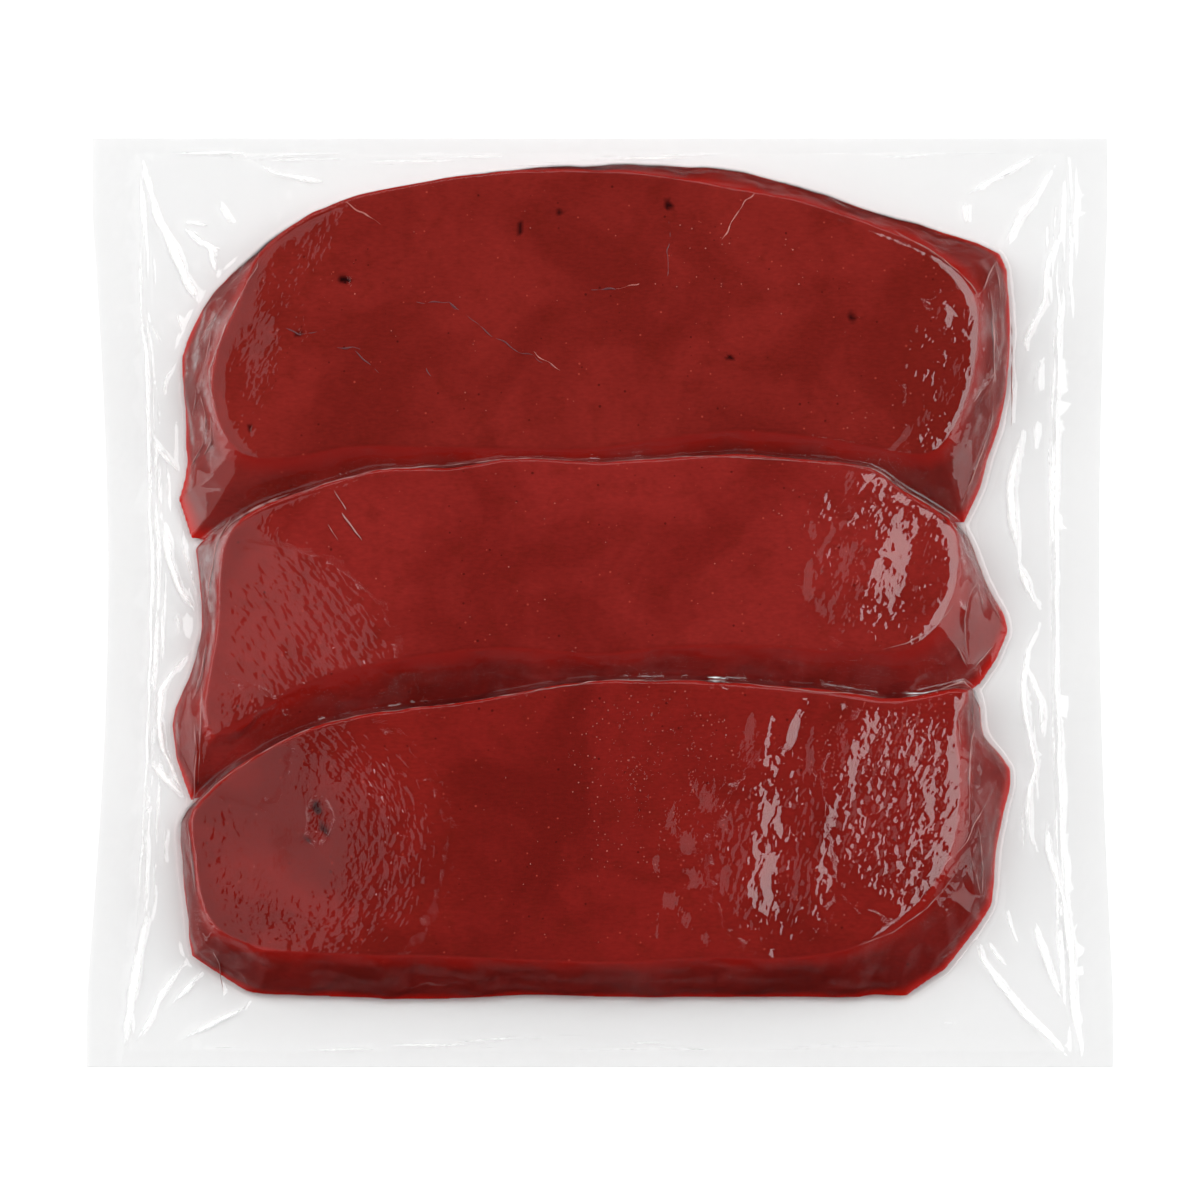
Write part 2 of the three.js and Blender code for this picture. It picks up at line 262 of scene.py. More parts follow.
MIX_A = 6          # colour sockets of the Mix node, which shares their names with other types
MIX_B = 7
MIX_RESULT = 2


def add_node(
    tree: bpy.types.NodeTree,
    kind: str,
    settings: dict[str | int, object] | None = None,
    links: dict[str | int, bpy.types.NodeSocket] | None = None,
) -> bpy.types.Node:
    """Adds a node with its settings and links.

    Args:
        tree: Node tree that takes the node.
        kind: Blender's name for the kind of node.
        settings: Values of the node's own properties, or of its inputs by name or number.
        links: Outputs of other nodes, by the name or number of the input that they feed.

    Returns:
        The new node.
    """
    node = tree.nodes.new(kind)
    for name, value in (settings or {}).items():
        if isinstance(name, int) or name in node.inputs:
            node.inputs[name].default_value = value
        else:
            setattr(node, name, value)
    for name, socket in (links or {}).items():
        tree.links.new(socket, node.inputs[name])
    return node


def new_material(name: str) -> tuple[bpy.types.Material, bpy.types.NodeTree]:
    """Makes a material with an empty node tree."""
    material = bpy.data.materials.new(name)
    material.use_nodes = True
    material.node_tree.nodes.clear()
    return material, material.node_tree


def millimetre_places(
    tree: bpy.types.NodeTree, stretch: tuple[float, float, float] = (1, 1, 1)
) -> bpy.types.NodeSocket:
    """Adds the object's own coordinates in millimetres, each divided by a stretch.

    Args:
        tree: Node tree of the material.
        stretch: How much longer than wide a pattern is along X, Y and Z.

    Returns:
        The socket that gives the coordinates.
    """
    places = add_node(tree, "ShaderNodeTexCoord")
    scale = tuple(1 / MM / share for share in stretch)
    mapping = add_node(
        tree, "ShaderNodeMapping", {"Scale": scale}, {"Vector": places.outputs["Object"]})
    return mapping.outputs["Vector"]


@dataclass(frozen=True)
class LiverFinish:
    """Raw beef liver, sliced with a knife: a dense, wet, dark red-brown organ meat.

    The cut face is smooth and fine-grained, and clouded in patches of a centimetre or two. Its cut
    rims and the thin foot let light through, and that brighter red is painted into their colour. The
    gloss is the film's.
    """

    name: str
    deep: str                      # colour of the dark clouds
    fresh: str                     # colour of the light clouds
    brown: str = "63170f"          # colour of the browner stains
    rim: str = "93160f"            # painted glow of the light that comes through a cut rim
    foot: str = "bd1a10"           # painted glow of the stronger light that comes through the thin foot
    fat: str = "b8493c"            # colour of pale grains
    pore: str = "2a0505"           # colour of the dark specks, and the painted shade inside the holes of cut vessels
    cloud_size: float = 30.0       # millimetres across one cloud
    stain_size: float = 6.0
    grain_size: float = 0.7        # millimetres across the grain, which runs with the slice
    grain_stretch: tuple[float, float, float] = (2.4, 1.0, 1.0)
    speck_spacing: float = 3.4     # millimetres between the dark specks
    speck_depth: float = 0.6       # how much of their colour shows, from 0 to 1
    fat_spacing: float = 2.6       # millimetres between the pale grains
    fat_depth: float = 0.5

    def build(self) -> bpy.types.Material:
        """Builds the material.

        Returns:
            The finished material.
        """
        material, tree = new_material(self.name)
        places = millimetre_places(tree)
        colour = self.clouded_colour(tree, places)
        specks = (
            (self.speck_spacing, self.pore, self.speck_depth),
            (self.fat_spacing, self.fat, self.fat_depth),
        )
        for spacing, speck, depth in specks:
            colour = self.speckled_colour(tree, places, colour, spacing, speck, depth)
        # painted glow of light through the rims and the thin foot, and painted shade in the pores'
        # holes
        for share, end in (("rim", self.rim), ("foot", self.foot), ("pore", self.pore)):
            stored = add_node(tree, "ShaderNodeAttribute", {"attribute_name": share})
            mix = add_node(
                tree, "ShaderNodeMix", {"data_type": "RGBA", MIX_B: linear(end)},
                {"Factor": stored.outputs["Fac"], MIX_A: colour})
            colour = mix.outputs[MIX_RESULT]
        surface = add_node(
            tree, "ShaderNodeBsdfPrincipled",
            {"Roughness": 0.5, "Specular IOR Level": 0.0},
            {"Base Color": colour, "Normal": self.grained_normal(tree, places)})
        add_node(tree, "ShaderNodeOutputMaterial", links={"Surface": surface.outputs["BSDF"]})
        return material

    def clouded_colour(
        self, tree: bpy.types.NodeTree, places: bpy.types.NodeSocket
    ) -> bpy.types.NodeSocket:
        """Adds the clouds, stains and grain of the cut face.

        Args:
            tree: Node tree of the material.
            places: Coordinates in millimetres.

        Returns:
            The socket that gives the colour.
        """
        clouds = add_node(
            tree, "ShaderNodeTexNoise",
            {"Scale": 1 / self.cloud_size, "Detail": 4.0, "Roughness": 0.55, "Distortion": 0.6},
            {"Vector": places})
        clouds = add_node(
            tree, "ShaderNodeMapRange",
            {"interpolation_type": "SMOOTHSTEP", "From Min": 0.36, "From Max": 0.64},
            {"Value": clouds.outputs["Fac"]})
        base = add_node(
            tree, "ShaderNodeMix",
            {"data_type": "RGBA", MIX_A: linear(self.deep), MIX_B: linear(self.fresh)},
            {"Factor": clouds.outputs["Result"]})
        stains = add_node(
            tree, "ShaderNodeTexNoise",
            {"Scale": 1 / self.stain_size, "Detail": 4.0, "Roughness": 0.62}, {"Vector": places})
        stains = add_node(
            tree, "ShaderNodeMapRange",
            {"interpolation_type": "SMOOTHSTEP", "From Min": 0.48, "From Max": 0.76, "To Max": 0.42},
            {"Value": stains.outputs["Fac"]})
        stained = add_node(
            tree, "ShaderNodeMix", {"data_type": "RGBA", MIX_B: linear(self.brown)},
            {"Factor": stains.outputs["Result"], MIX_A: base.outputs[MIX_RESULT]})
        grain = add_node(
            tree, "ShaderNodeTexNoise",
            {"Scale": 1 / self.grain_size, "Detail": 3.0, "Roughness": 0.6},
            {"Vector": millimetre_places(tree, self.grain_stretch)})
        shade = add_node(
            tree, "ShaderNodeMapRange",
            {"From Min": 0.25, "From Max": 0.75, "To Min": 0.86, "To Max": 1.14},
            {"Value": grain.outputs["Fac"]})
        grained = add_node(
            tree, "ShaderNodeMix", {"data_type": "RGBA", "blend_type": "MULTIPLY", "Factor": 1.0},
            {MIX_A: stained.outputs[MIX_RESULT], MIX_B: shade.outputs["Result"]})
        return grained.outputs[MIX_RESULT]

    @staticmethod
    def speckled_colour(
        tree: bpy.types.NodeTree, places: bpy.types.NodeSocket, colour: bpy.types.NodeSocket,
        spacing: float, speck: str, depth: float,
    ) -> bpy.types.NodeSocket:
        """Adds fine specks of many sizes.

        Args:
            tree: Node tree of the material.
            places: Coordinates in millimetres.
            colour: The colour under the specks.
            spacing: Millimetres between the specks.
            speck: Colour of the specks.
            depth: How much of their colour shows, from 0 to 1.

        Returns:
            The socket that gives the speckled colour.
        """
        cells = add_node(
            tree, "ShaderNodeTexVoronoi", {"Scale": 1 / spacing, "Randomness": 1.0},
            {"Vector": places})
        width = add_node(
            tree, "ShaderNodeSeparateColor", links={"Color": cells.outputs["Color"]})
        largest = 0.11             # radius of the largest speck, as a share of the spacing
        edge = add_node(
            tree, "ShaderNodeMath", {"operation": "MULTIPLY", 1: largest}, {0: width.outputs["Red"]})
        inside = add_node(
            tree, "ShaderNodeMath", {"operation": "SUBTRACT"},
            {0: edge.outputs["Value"], 1: cells.outputs["Distance"]})
        share = add_node(
            tree, "ShaderNodeMapRange", {"From Min": -0.02, "From Max": 0.03, "To Max": depth},
            {"Value": inside.outputs["Value"]})
        mix = add_node(
            tree, "ShaderNodeMix", {"data_type": "RGBA", MIX_B: linear(speck)},
            {"Factor": share.outputs["Result"], MIX_A: colour})
        return mix.outputs[MIX_RESULT]

    @staticmethod
    def grained_normal(
        tree: bpy.types.NodeTree, places: bpy.types.NodeSocket
    ) -> bpy.types.NodeSocket:
        """Adds the fine unevenness of the cut face.

        Args:
            tree: Node tree of the material.
            places: Coordinates in millimetres.

        Returns:
            The socket that gives the normal.
        """
        grit_size = 1.3
        grit = add_node(
            tree, "ShaderNodeTexNoise", {"Scale": 1 / grit_size, "Detail": 0.0}, {"Vector": places})
        bump = add_node(
            tree, "ShaderNodeBump", {"Strength": 0.5, "Distance": 0.12 * MM},
            {"Height": grit.outputs["Fac"]})
        return bump.outputs["Normal"]


@dataclass(frozen=True)
class FilmFinish:
    """Co-extruded polyamide and polyethylene vacuum film, about 0.1 mm thick, clear and glossy.

    Its surface mirrors the studio at a few hundredths, more at a glance. It is finely crinkled where
    it was drawn over the meat. Its sharp creases are painted white for their highlights, its seals
    are slightly hazy, and a white sheen is painted where it runs down steep walls.
    """

    name: str = "clear_vacuum_film"
    ior: float = 1.57
    roughness: float = 0.0         # 0 is a sharp mirror
    tint: str = "fefefe"           # what one pass through the film leaves of white light
    painted_glint: str = "ffffff"           # white painted on a sharp crease as its highlight
    crinkle_depth: float = 0.26    # millimetres of relief for each millimetre across a crinkle
    clear_below: float = 0.24      # painted whiteness under which a crease is still clear
    white_above: float = 0.74      # painted whiteness over which a crease is fully white

    def build(self) -> bpy.types.Material:
        """Builds the material.

        Returns:
            The finished material.
        """
        material, tree = new_material(self.name)
        flow = add_node(tree, "ShaderNodeAttribute", {"attribute_name": "flow"})
        crinkles = add_node(
            tree, "ShaderNodeTexNoise", {"Scale": 1.0, "Detail": 1.0, "Roughness": 0.5},
            {"Vector": flow.outputs["Vector"]})
        strength = add_node(tree, "ShaderNodeAttribute", {"attribute_name": "crinkle"})
        bump = add_node(
            tree, "ShaderNodeBump", {"Distance": self.crinkle_depth * MM},
            {"Strength": strength.outputs["Fac"], "Height": crinkles.outputs["Fac"]})
        normal = bump.outputs["Normal"]
        clear = add_node(tree, "ShaderNodeBsdfTransparent", {"Color": linear(self.tint)})
        gloss = add_node(
            tree, "ShaderNodeBsdfAnisotropic", {"distribution": "GGX", "Roughness": self.roughness},
            {"Normal": normal})
        film = add_node(
            tree, "ShaderNodeMixShader", links={
                0: self.mirror_share(tree, normal), 1: clear.outputs["BSDF"], 2: gloss.outputs["BSDF"]})
        # white diffuse that paints the creases' highlights and the walls' sheen
        painted_glint = add_node(
            tree, "ShaderNodeBsdfDiffuse", {"Color": linear(self.painted_glint)}, {"Normal": normal})
        surface = add_node(
            tree, "ShaderNodeMixShader", links={
                0: self.painted_glint_share(tree, crinkles.outputs["Fac"]),
                1: film.outputs["Shader"], 2: painted_glint.outputs["BSDF"]})
        add_node(tree, "ShaderNodeOutputMaterial", links={"Surface": surface.outputs["Shader"]})
        return material

    def mirror_share(
        self, tree: bpy.types.NodeTree, normal: bpy.types.NodeSocket
    ) -> bpy.types.NodeSocket:
        """Adds the share of light that the film mirrors, which is the same from both of its sides.

        Args:
            tree: Node tree of the material.
            normal: The crinkled normal.

        Returns:
            The socket that gives the share, by Schlick's rule.
        """
        straight = ((self.ior - 1) / (self.ior + 1)) ** 2
        facing = add_node(tree, "ShaderNodeLayerWeight", {"Blend": 0.5}, {"Normal": normal})
        glance = add_node(
            tree, "ShaderNodeMath", {"operation": "POWER", 1: 5.0}, {0: facing.outputs["Facing"]})
        share = add_node(
            tree, "ShaderNodeMapRange", {"To Min": straight, "To Max": 1.0},
            {"Value": glance.outputs["Value"]})
        return share.outputs["Result"]

    def painted_glint_share(
        self, tree: bpy.types.NodeTree, pattern: bpy.types.NodeSocket
    ) -> bpy.types.NodeSocket:
        """Adds the white share of the film: crisp painted crease highlights, hazy seals and painted
        wall sheen.

        Args:
            tree: Node tree of the material.
            pattern: The crinkle pattern, which frays the crease highlights and streaks the wall sheen.

        Returns:
            The socket that gives the share.
        """
        fray = add_node(
            tree, "ShaderNodeMapRange", {"To Min": 0.7, "To Max": 1.25}, {"Value": pattern})
        painted_glint = add_node(tree, "ShaderNodeAttribute", {"attribute_name": "painted_glint"})
        frayed = add_node(
            tree, "ShaderNodeMath", {"operation": "MULTIPLY"},
            {0: painted_glint.outputs["Fac"], 1: fray.outputs["Result"]})
        crease = add_node(
            tree, "ShaderNodeMapRange",
            {"interpolation_type": "SMOOTHSTEP", "From Min": self.clear_below,
             "From Max": self.white_above}, {"Value": frayed.outputs["Value"]})
        streak = add_node(
            tree, "ShaderNodeMapRange",
            {"From Min": 0.3, "From Max": 0.72, "To Min": 0.7, "To Max": 1.4}, {"Value": pattern})
        haze_and_sheen = add_node(tree, "ShaderNodeAttribute", {"attribute_name": "haze_and_sheen"})
        whole = add_node(
            tree, "ShaderNodeMath", {"operation": "MULTIPLY_ADD", "use_clamp": True},
            {0: haze_and_sheen.outputs["Fac"], 1: streak.outputs["Result"], 2: crease.outputs["Result"]})
        return whole.outputs["Value"]


@dataclass(frozen=True)
class PlainFinish:
    """A small wet or glossy detail of one colour, clouded a little so that it isn't flat."""

    name: str
    light: str
    dark: str
    roughness: float
    cloud_size: float              # millimetres across one cloud

    def build(self) -> bpy.types.Material:
        """Builds the material.

        Returns:
            The finished material.
        """
        material, tree = new_material(self.name)
        clouds = add_node(
            tree, "ShaderNodeTexNoise", {"Scale": 1 / self.cloud_size, "Detail": 3.0},
            {"Vector": millimetre_places(tree)})
        colour = add_node(
            tree, "ShaderNodeMix",
            {"data_type": "RGBA", MIX_A: linear(self.dark), MIX_B: linear(self.light)},
            {"Factor": clouds.outputs["Fac"]})
        surface = add_node(
            tree, "ShaderNodeBsdfPrincipled", {"Roughness": self.roughness},
            {"Base Color": colour.outputs[MIX_RESULT]})
        add_node(tree, "ShaderNodeOutputMaterial", links={"Surface": surface.outputs["BSDF"]})
        return material


# --------------------------------------------------------------------------------- liver slices


@dataclass(frozen=True)
class Pore:
    """A cut vessel that leaves a hole in the top face."""

    at: Point
    length: float
    width: float
    depth: float
    turn: float = 0.0              # degrees from +X to its long side

    def share(self, x: Grid, y: Grid) -> Grid:
        """Works out how far inside the pore each place lies.

        Args:
            x: Places along X.
            y: Places along Y.

        Returns:
            Shares from 0 outside to 1 in its middle, with a ragged edge.
        """
        along, across = turned(x, y, self.at, self.turn)
        away = np.hypot(along / (self.length / 2), across / (self.width / 2))
        ragged = 1 + 0.3 * soft_noise(x, y, 0.8, 81)
        return ease(1.2, 0.7, away * ragged)


@dataclass(frozen=True)
class Slope:
    """A stretch of a slice's top that falls away to the left of an arc that bulges to the right."""

    centre: Point
    radius: float
    fall: float                    # millimetres of drop for each millimetre to the left
    softness: float                # distance over which the fall sets in


@dataclass
class LiverSlice:
    """One slice of liver: a fine-meshed copy of its CAD solid, with its cut face and pores."""

    node: str
    name: str
    finish: LiverFinish
    pores: tuple[Pore, ...]
    slopes: tuple[Slope, ...] = ()
    voxel: float = 0.55            # spacing of the mesh before it is thinned out
    smoothing: int = 1             # passes that round the solid's edges
    kept: float = 0.5              # share of the fine faces that stays, most of them where it bends
    wave: float = 0.10             # height of the cut face's unevenness
    wave_size: float = 13.0
    pucker: float = 0.22           # depth of the walls' unevenness
    pucker_size: float = 5.0
    rim_glow: float = 0.8          # how much of the rim's painted glow of light shows

    def build(self) -> bpy.types.Object:
        """Builds the slice and has it stand for its CAD solid.

        Returns:
            The finished piece.
        """
        mesh = self.fine_mesh()
        self.shape(mesh)
        piece = new_piece(self.name, mesh)
        mesh.materials.clear()
        mesh.materials.append(self.finish.build())
        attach(piece, BODY)
        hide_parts(self.node)
        return piece

    def fine_mesh(self) -> bpy.types.Mesh:
        """Remeshes a copy of the CAD solid finely and rounds its edges.

        Returns:
            The fine mesh.
        """
        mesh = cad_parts[self.node].data.copy()
        shell = bmesh.new()
        shell.from_mesh(mesh)
        bmesh.ops.remove_doubles(shell, verts=shell.verts, dist=0.01 * MM)
        shell.to_mesh(mesh)
        shell.free()
        rough = new_piece(self.name + ".rough", mesh)
        remesh = rough.modifiers.new("fine", "REMESH")
        remesh.mode = "VOXEL"
        remesh.voxel_size = self.voxel * MM
        smooth = rough.modifiers.new("round", "SMOOTH")
        smooth.factor = 0.5
        smooth.iterations = self.smoothing
        thin = rough.modifiers.new("thin", "DECIMATE")
        thin.ratio = self.kept
        return evaluated_mesh(rough)

    def shape(self, mesh: bpy.types.Mesh) -> None:
        """Gives the fine mesh its slopes, waves and pores, and stores what the finish reads.

        Args:
            mesh: The fine mesh, which is changed.
        """
        places = vertex_places(mesh)
        normals = read_rows(mesh.vertices, "normal")
        x, y, z = places.T
        facing_up = normals[:, 2]
        top = z.max()
        # shares, from 0 to 1: the upper part, the cut face, the walls, and where a glow of light
        # through the meat is painted
        level = ease(0.25 * top, 0.9 * top, z)
        face = ease(0.6, 0.92, facing_up) * ease(0.5 * top, 0.7 * top, z)
        wall = (1 - ease(0.5, 0.85, np.abs(facing_up))) * ease(0.5, 2.5, z)
        rim = ease(0.97, 0.8, facing_up) * ease(0.2, 0.55, facing_up)
        rim *= ease(0.7 * top, 0.9 * top, z)
        foot = ease(4.6, 1.4, z)

        puckers = soft_noise(x + 0.6 * y, z - 0.6 * y, self.pucker_size, 11)
        places += normals * (wall * puckers * self.pucker)[:, None]
        drop = np.zeros(len(x))
        for slope in self.slopes:
            drop += self.fallen(x, y, slope)
        waves = (
            soft_noise(x, y, self.wave_size, 21) + 0.4 * soft_noise(x, y, self.wave_size / 3, 22))
        places[:, 2] += level * (waves * self.wave * face - drop)
        # painted shade inside the pores' holes
        dark = np.zeros(len(x))
        for pore in self.pores:
            hole = pore.share(x, y) * face
            places[:, 2] -= hole * pore.depth
            dark = np.maximum(dark, hole)
        write_places(mesh, places)
        write_shares(mesh, "rim", self.rim_glow * rim)
        write_shares(mesh, "foot", foot)
        write_shares(mesh, "pore", dark)

    @staticmethod
    def fallen(x: Grid, y: Grid, slope: Slope) -> Grid:
        """Works out how far a slope has fallen at each place.

        Args:
            x: Places along X.
            y: Places along Y.
            slope: The slope.

        Returns:
            The drop, which is 0 to the right of the slope's arc.
        """
        reach = np.clip((y - slope.centre[1]) / slope.radius, -1.0, 1.0)
        edge = slope.centre[0] + slope.radius * np.sqrt(1.0 - reach ** 2)
        inside = (edge - x) / slope.softness
        return slope.fall * slope.softness * np.logaddexp(0.0, inside)


# ------------------------------------------------------------------------------------------ film


@dataclass(frozen=True)
class Fold:
    """A crease that stands up from the film, with its flanks to the left and right of its route."""

    route: Route
    left: float                    # width of the flank on the left of the way the route runs
    right: float
    height: float
    painted_glint: float = 0.0              # how white the highlight painted on its crest is, from 0 to 1

    def near(self, x: Grid, y: Grid) -> Grid:
        """Tells which places may lie on the fold."""
        reach = 1.6 * max(self.left, self.right) + 1.0
        across, along = zip(*self.route)
        return (
            (x > min(across) - reach) & (x < max(across) + reach)
            & (y > min(along) - reach) & (y < max(along) + reach))


@dataclass(frozen=True)
class Zone:
    """A round or oval stretch of film, with how strongly something shows there and how it lies."""

    centre: Point
    reach: Point                   # half its size along X and Y
    strength: float
    turn: float = 0.0              # degrees from +X to its first reach
    size: float = 1.3              # millimetres across one crinkle
    stretch: float = 1.8           # how much longer than wide a crinkle is
    lie: float = 65.0              # degrees from +X to a crinkle's long side
    pivot: Point | None = None     # point that the crinkles curve round, if they do
    hollow: float = 0.0            # share of the strength that the zone's middle lacks

    def share(self, x: Grid, y: Grid) -> Grid:
        """Works out how far inside the zone each place lies, from 0 outside to 1 well inside.

        Args:
            x: Places along X.
            y: Places along Y.

        Returns:
            The shares, which change from 1 to 0 over the outer part of the zone's reach.
        """
        along, across = turned(x, y, self.centre, self.turn)
        away = np.hypot(along / self.reach[0], across / self.reach[1])
        return ease(1.15, 0.7, away) * (1 - self.hollow * ease(0.6, 0.25, away))

    def flow(self, x: Grid, y: Grid) -> tuple[Grid, Grid, Grid]:
        """Works out each place's coordinates in crinkles: one across them and two along them.

        Crinkles that curve round a pivot run along a circle, which takes both of the last two.

        Args:
            x: Places along X.
            y: Places along Y.

        Returns:
            The three coordinates.
        """
        length = self.size * self.stretch
        if self.pivot is None:
            lie = math.radians(self.lie)
            across = x * math.sin(lie) - y * math.cos(lie)
            along = x * math.cos(lie) + y * math.sin(lie)
            return across / self.size, along / length, np.zeros(x.shape)
        across = np.hypot(x - self.pivot[0], y - self.pivot[1])
        turn = np.arctan2(y - self.pivot[1], x - self.pivot[0])
        circle = 0.75 * self.reach[0] / length     # its crinkles are true to length on this circle
        return across / self.size, circle * np.cos(turn), circle * np.sin(turn)


@dataclass
class Drape:
    """Heights of the film over a fine square grid, drawn down on the slices like a taut sheet."""

    slices: list[bpy.types.Object]
    pores: list[Pore]              # holes that the film spans
    half_width: float
    half_depth: float
    cell: float = 0.4
    gap: float = 0.24              # clearance of the film over the meat's own surface
    web: float = 0.35              # height of the two webs where they lie together
    rounds: int = 700              # passes in which the film settles
    corner: float = 0.45           # radius at which the film bridges an inner corner
    calm: int = 16                 # passes that calm the film where it lies on level meat
    span: int = 90                 # passes in which the film spans the pores
    tight: int = 60                # passes that spread the tight film beyond the foot of the walls
    x: Grid = field(init=False)
    y: Grid = field(init=False)
    z: Grid = field(init=False)    # the film's heights
    meat: Grid = field(init=False)                  # heights of the uppermost meat
    free: Grid = field(init=False)                  # where the film is loose, from 0 to 1
    rise: tuple[Grid, Grid] = field(init=False)     # how steeply the film rises along X and Y

    def __post_init__(self) -> None:
        """Finds the slices' tops under the grid and settles the film on them."""
        columns = np.arange(-self.half_width - 1, self.half_width + 1, self.cell)
        rows = np.arange(-self.half_depth - 1, self.half_depth + 1, self.cell)
        self.x, self.y = np.meshgrid(columns, rows)
        self.meat = self.tops()
        spanned = sum(pore.share(self.x, self.y) for pore in self.pores) * (self.meat > TOP_FACE)
        whole = self.evened(self.meat, np.minimum(2 * spanned, 1.0), self.span)
        level = ease(0.5, 0.2, np.hypot(*np.gradient(whole, self.cell)))
        whole = self.evened(whole, level, self.calm)
        self.z = self.settle(np.maximum(whole + self.gap, self.web))
        covered = (self.meat > 0.5).astype(float)
        covered = self.evened(covered, np.ones(covered.shape), self.tight)
        self.free = ease(0.2, 0.02, covered)
        rise_y, rise_x = np.gradient(self.z, self.cell)
        self.rise = (rise_x, rise_y)

    def tops(self) -> Grid:
        """Finds the height of the uppermost meat at each place, or 0 where there is none.

        Returns:
            The heights.
        """
        vertices: list[tuple[float, float, float]] = []
        faces: list[list[int]] = []
        for piece in self.slices:
            start = len(vertices)
            vertices.extend(map(tuple, vertex_places(piece.data)))
            faces.extend([start + i for i in face.vertices] for face in piece.data.polygons)
        tree = BVHTree.FromPolygons(vertices, faces)
        down, above = Vector((0, 0, -1)), 60.0
        heights = [
            hit.z if (hit := tree.ray_cast(Vector((px, py, above)), down)[0]) else 0.0
            for px, py in zip(self.x.ravel(), self.y.ravel())]
        return np.array(heights).reshape(self.x.shape)

    @staticmethod
    def evened(heights: Grid, share: Grid, passes: int) -> Grid:
        """Evens out heights where a share says so, and leaves the rest alone.

        Args:
            heights: Heights on the grid.
            share: How far each place follows its neighbours' mean in one pass.
            passes: How many passes to make.

        Returns:
            The calmer heights.
        """
        calm = heights.copy()
        for _ in range(passes):
            calm = calm + share * (neighbours_mean(calm) - calm)
        return calm

    def settle(self, floor: Grid) -> Grid:
        """Draws the film down on what it covers, so that it bridges only tight inner corners.

        Args:
            floor: Lowest height that the film may take at each place.

        Returns:
            The film's heights.
        """
        sag = self.cell ** 2 / (4 * self.corner)
        film = floor.copy()
        for _ in range(self.rounds):
            film = np.maximum(floor, neighbours_mean(film) - sag)
        return film

    def at(self, x: Grid, y: Grid, heights: Grid | None = None) -> Grid:
        """Reads the film's height, or another map's, between the grid's points.

        Args:
            x: Places along X.
            y: Places along Y.
            heights: Another map on the same grid, if not the film's heights.

        Returns:
            The heights.
        """
        heights = self.z if heights is None else heights
        across = (x - self.x[0, 0]) / self.cell
        along = (y - self.y[0, 0]) / self.cell
        column = np.clip(np.floor(across).astype(int), 0, heights.shape[1] - 2)
        row = np.clip(np.floor(along).astype(int), 0, heights.shape[0] - 2)
        u, v = across - column, along - row
        near = heights[row, column] * (1 - u) + heights[row, column + 1] * u
        far = heights[row + 1, column] * (1 - u) + heights[row + 1, column + 1] * u
        return near * (1 - v) + far * v


@dataclass
class WebState:
    """The front web at some places: its height, and what its finish reads there."""

    z: Grid
    painted_glint: Grid
    haze_and_sheen: Grid
    crinkle: Grid
    flow: Grid


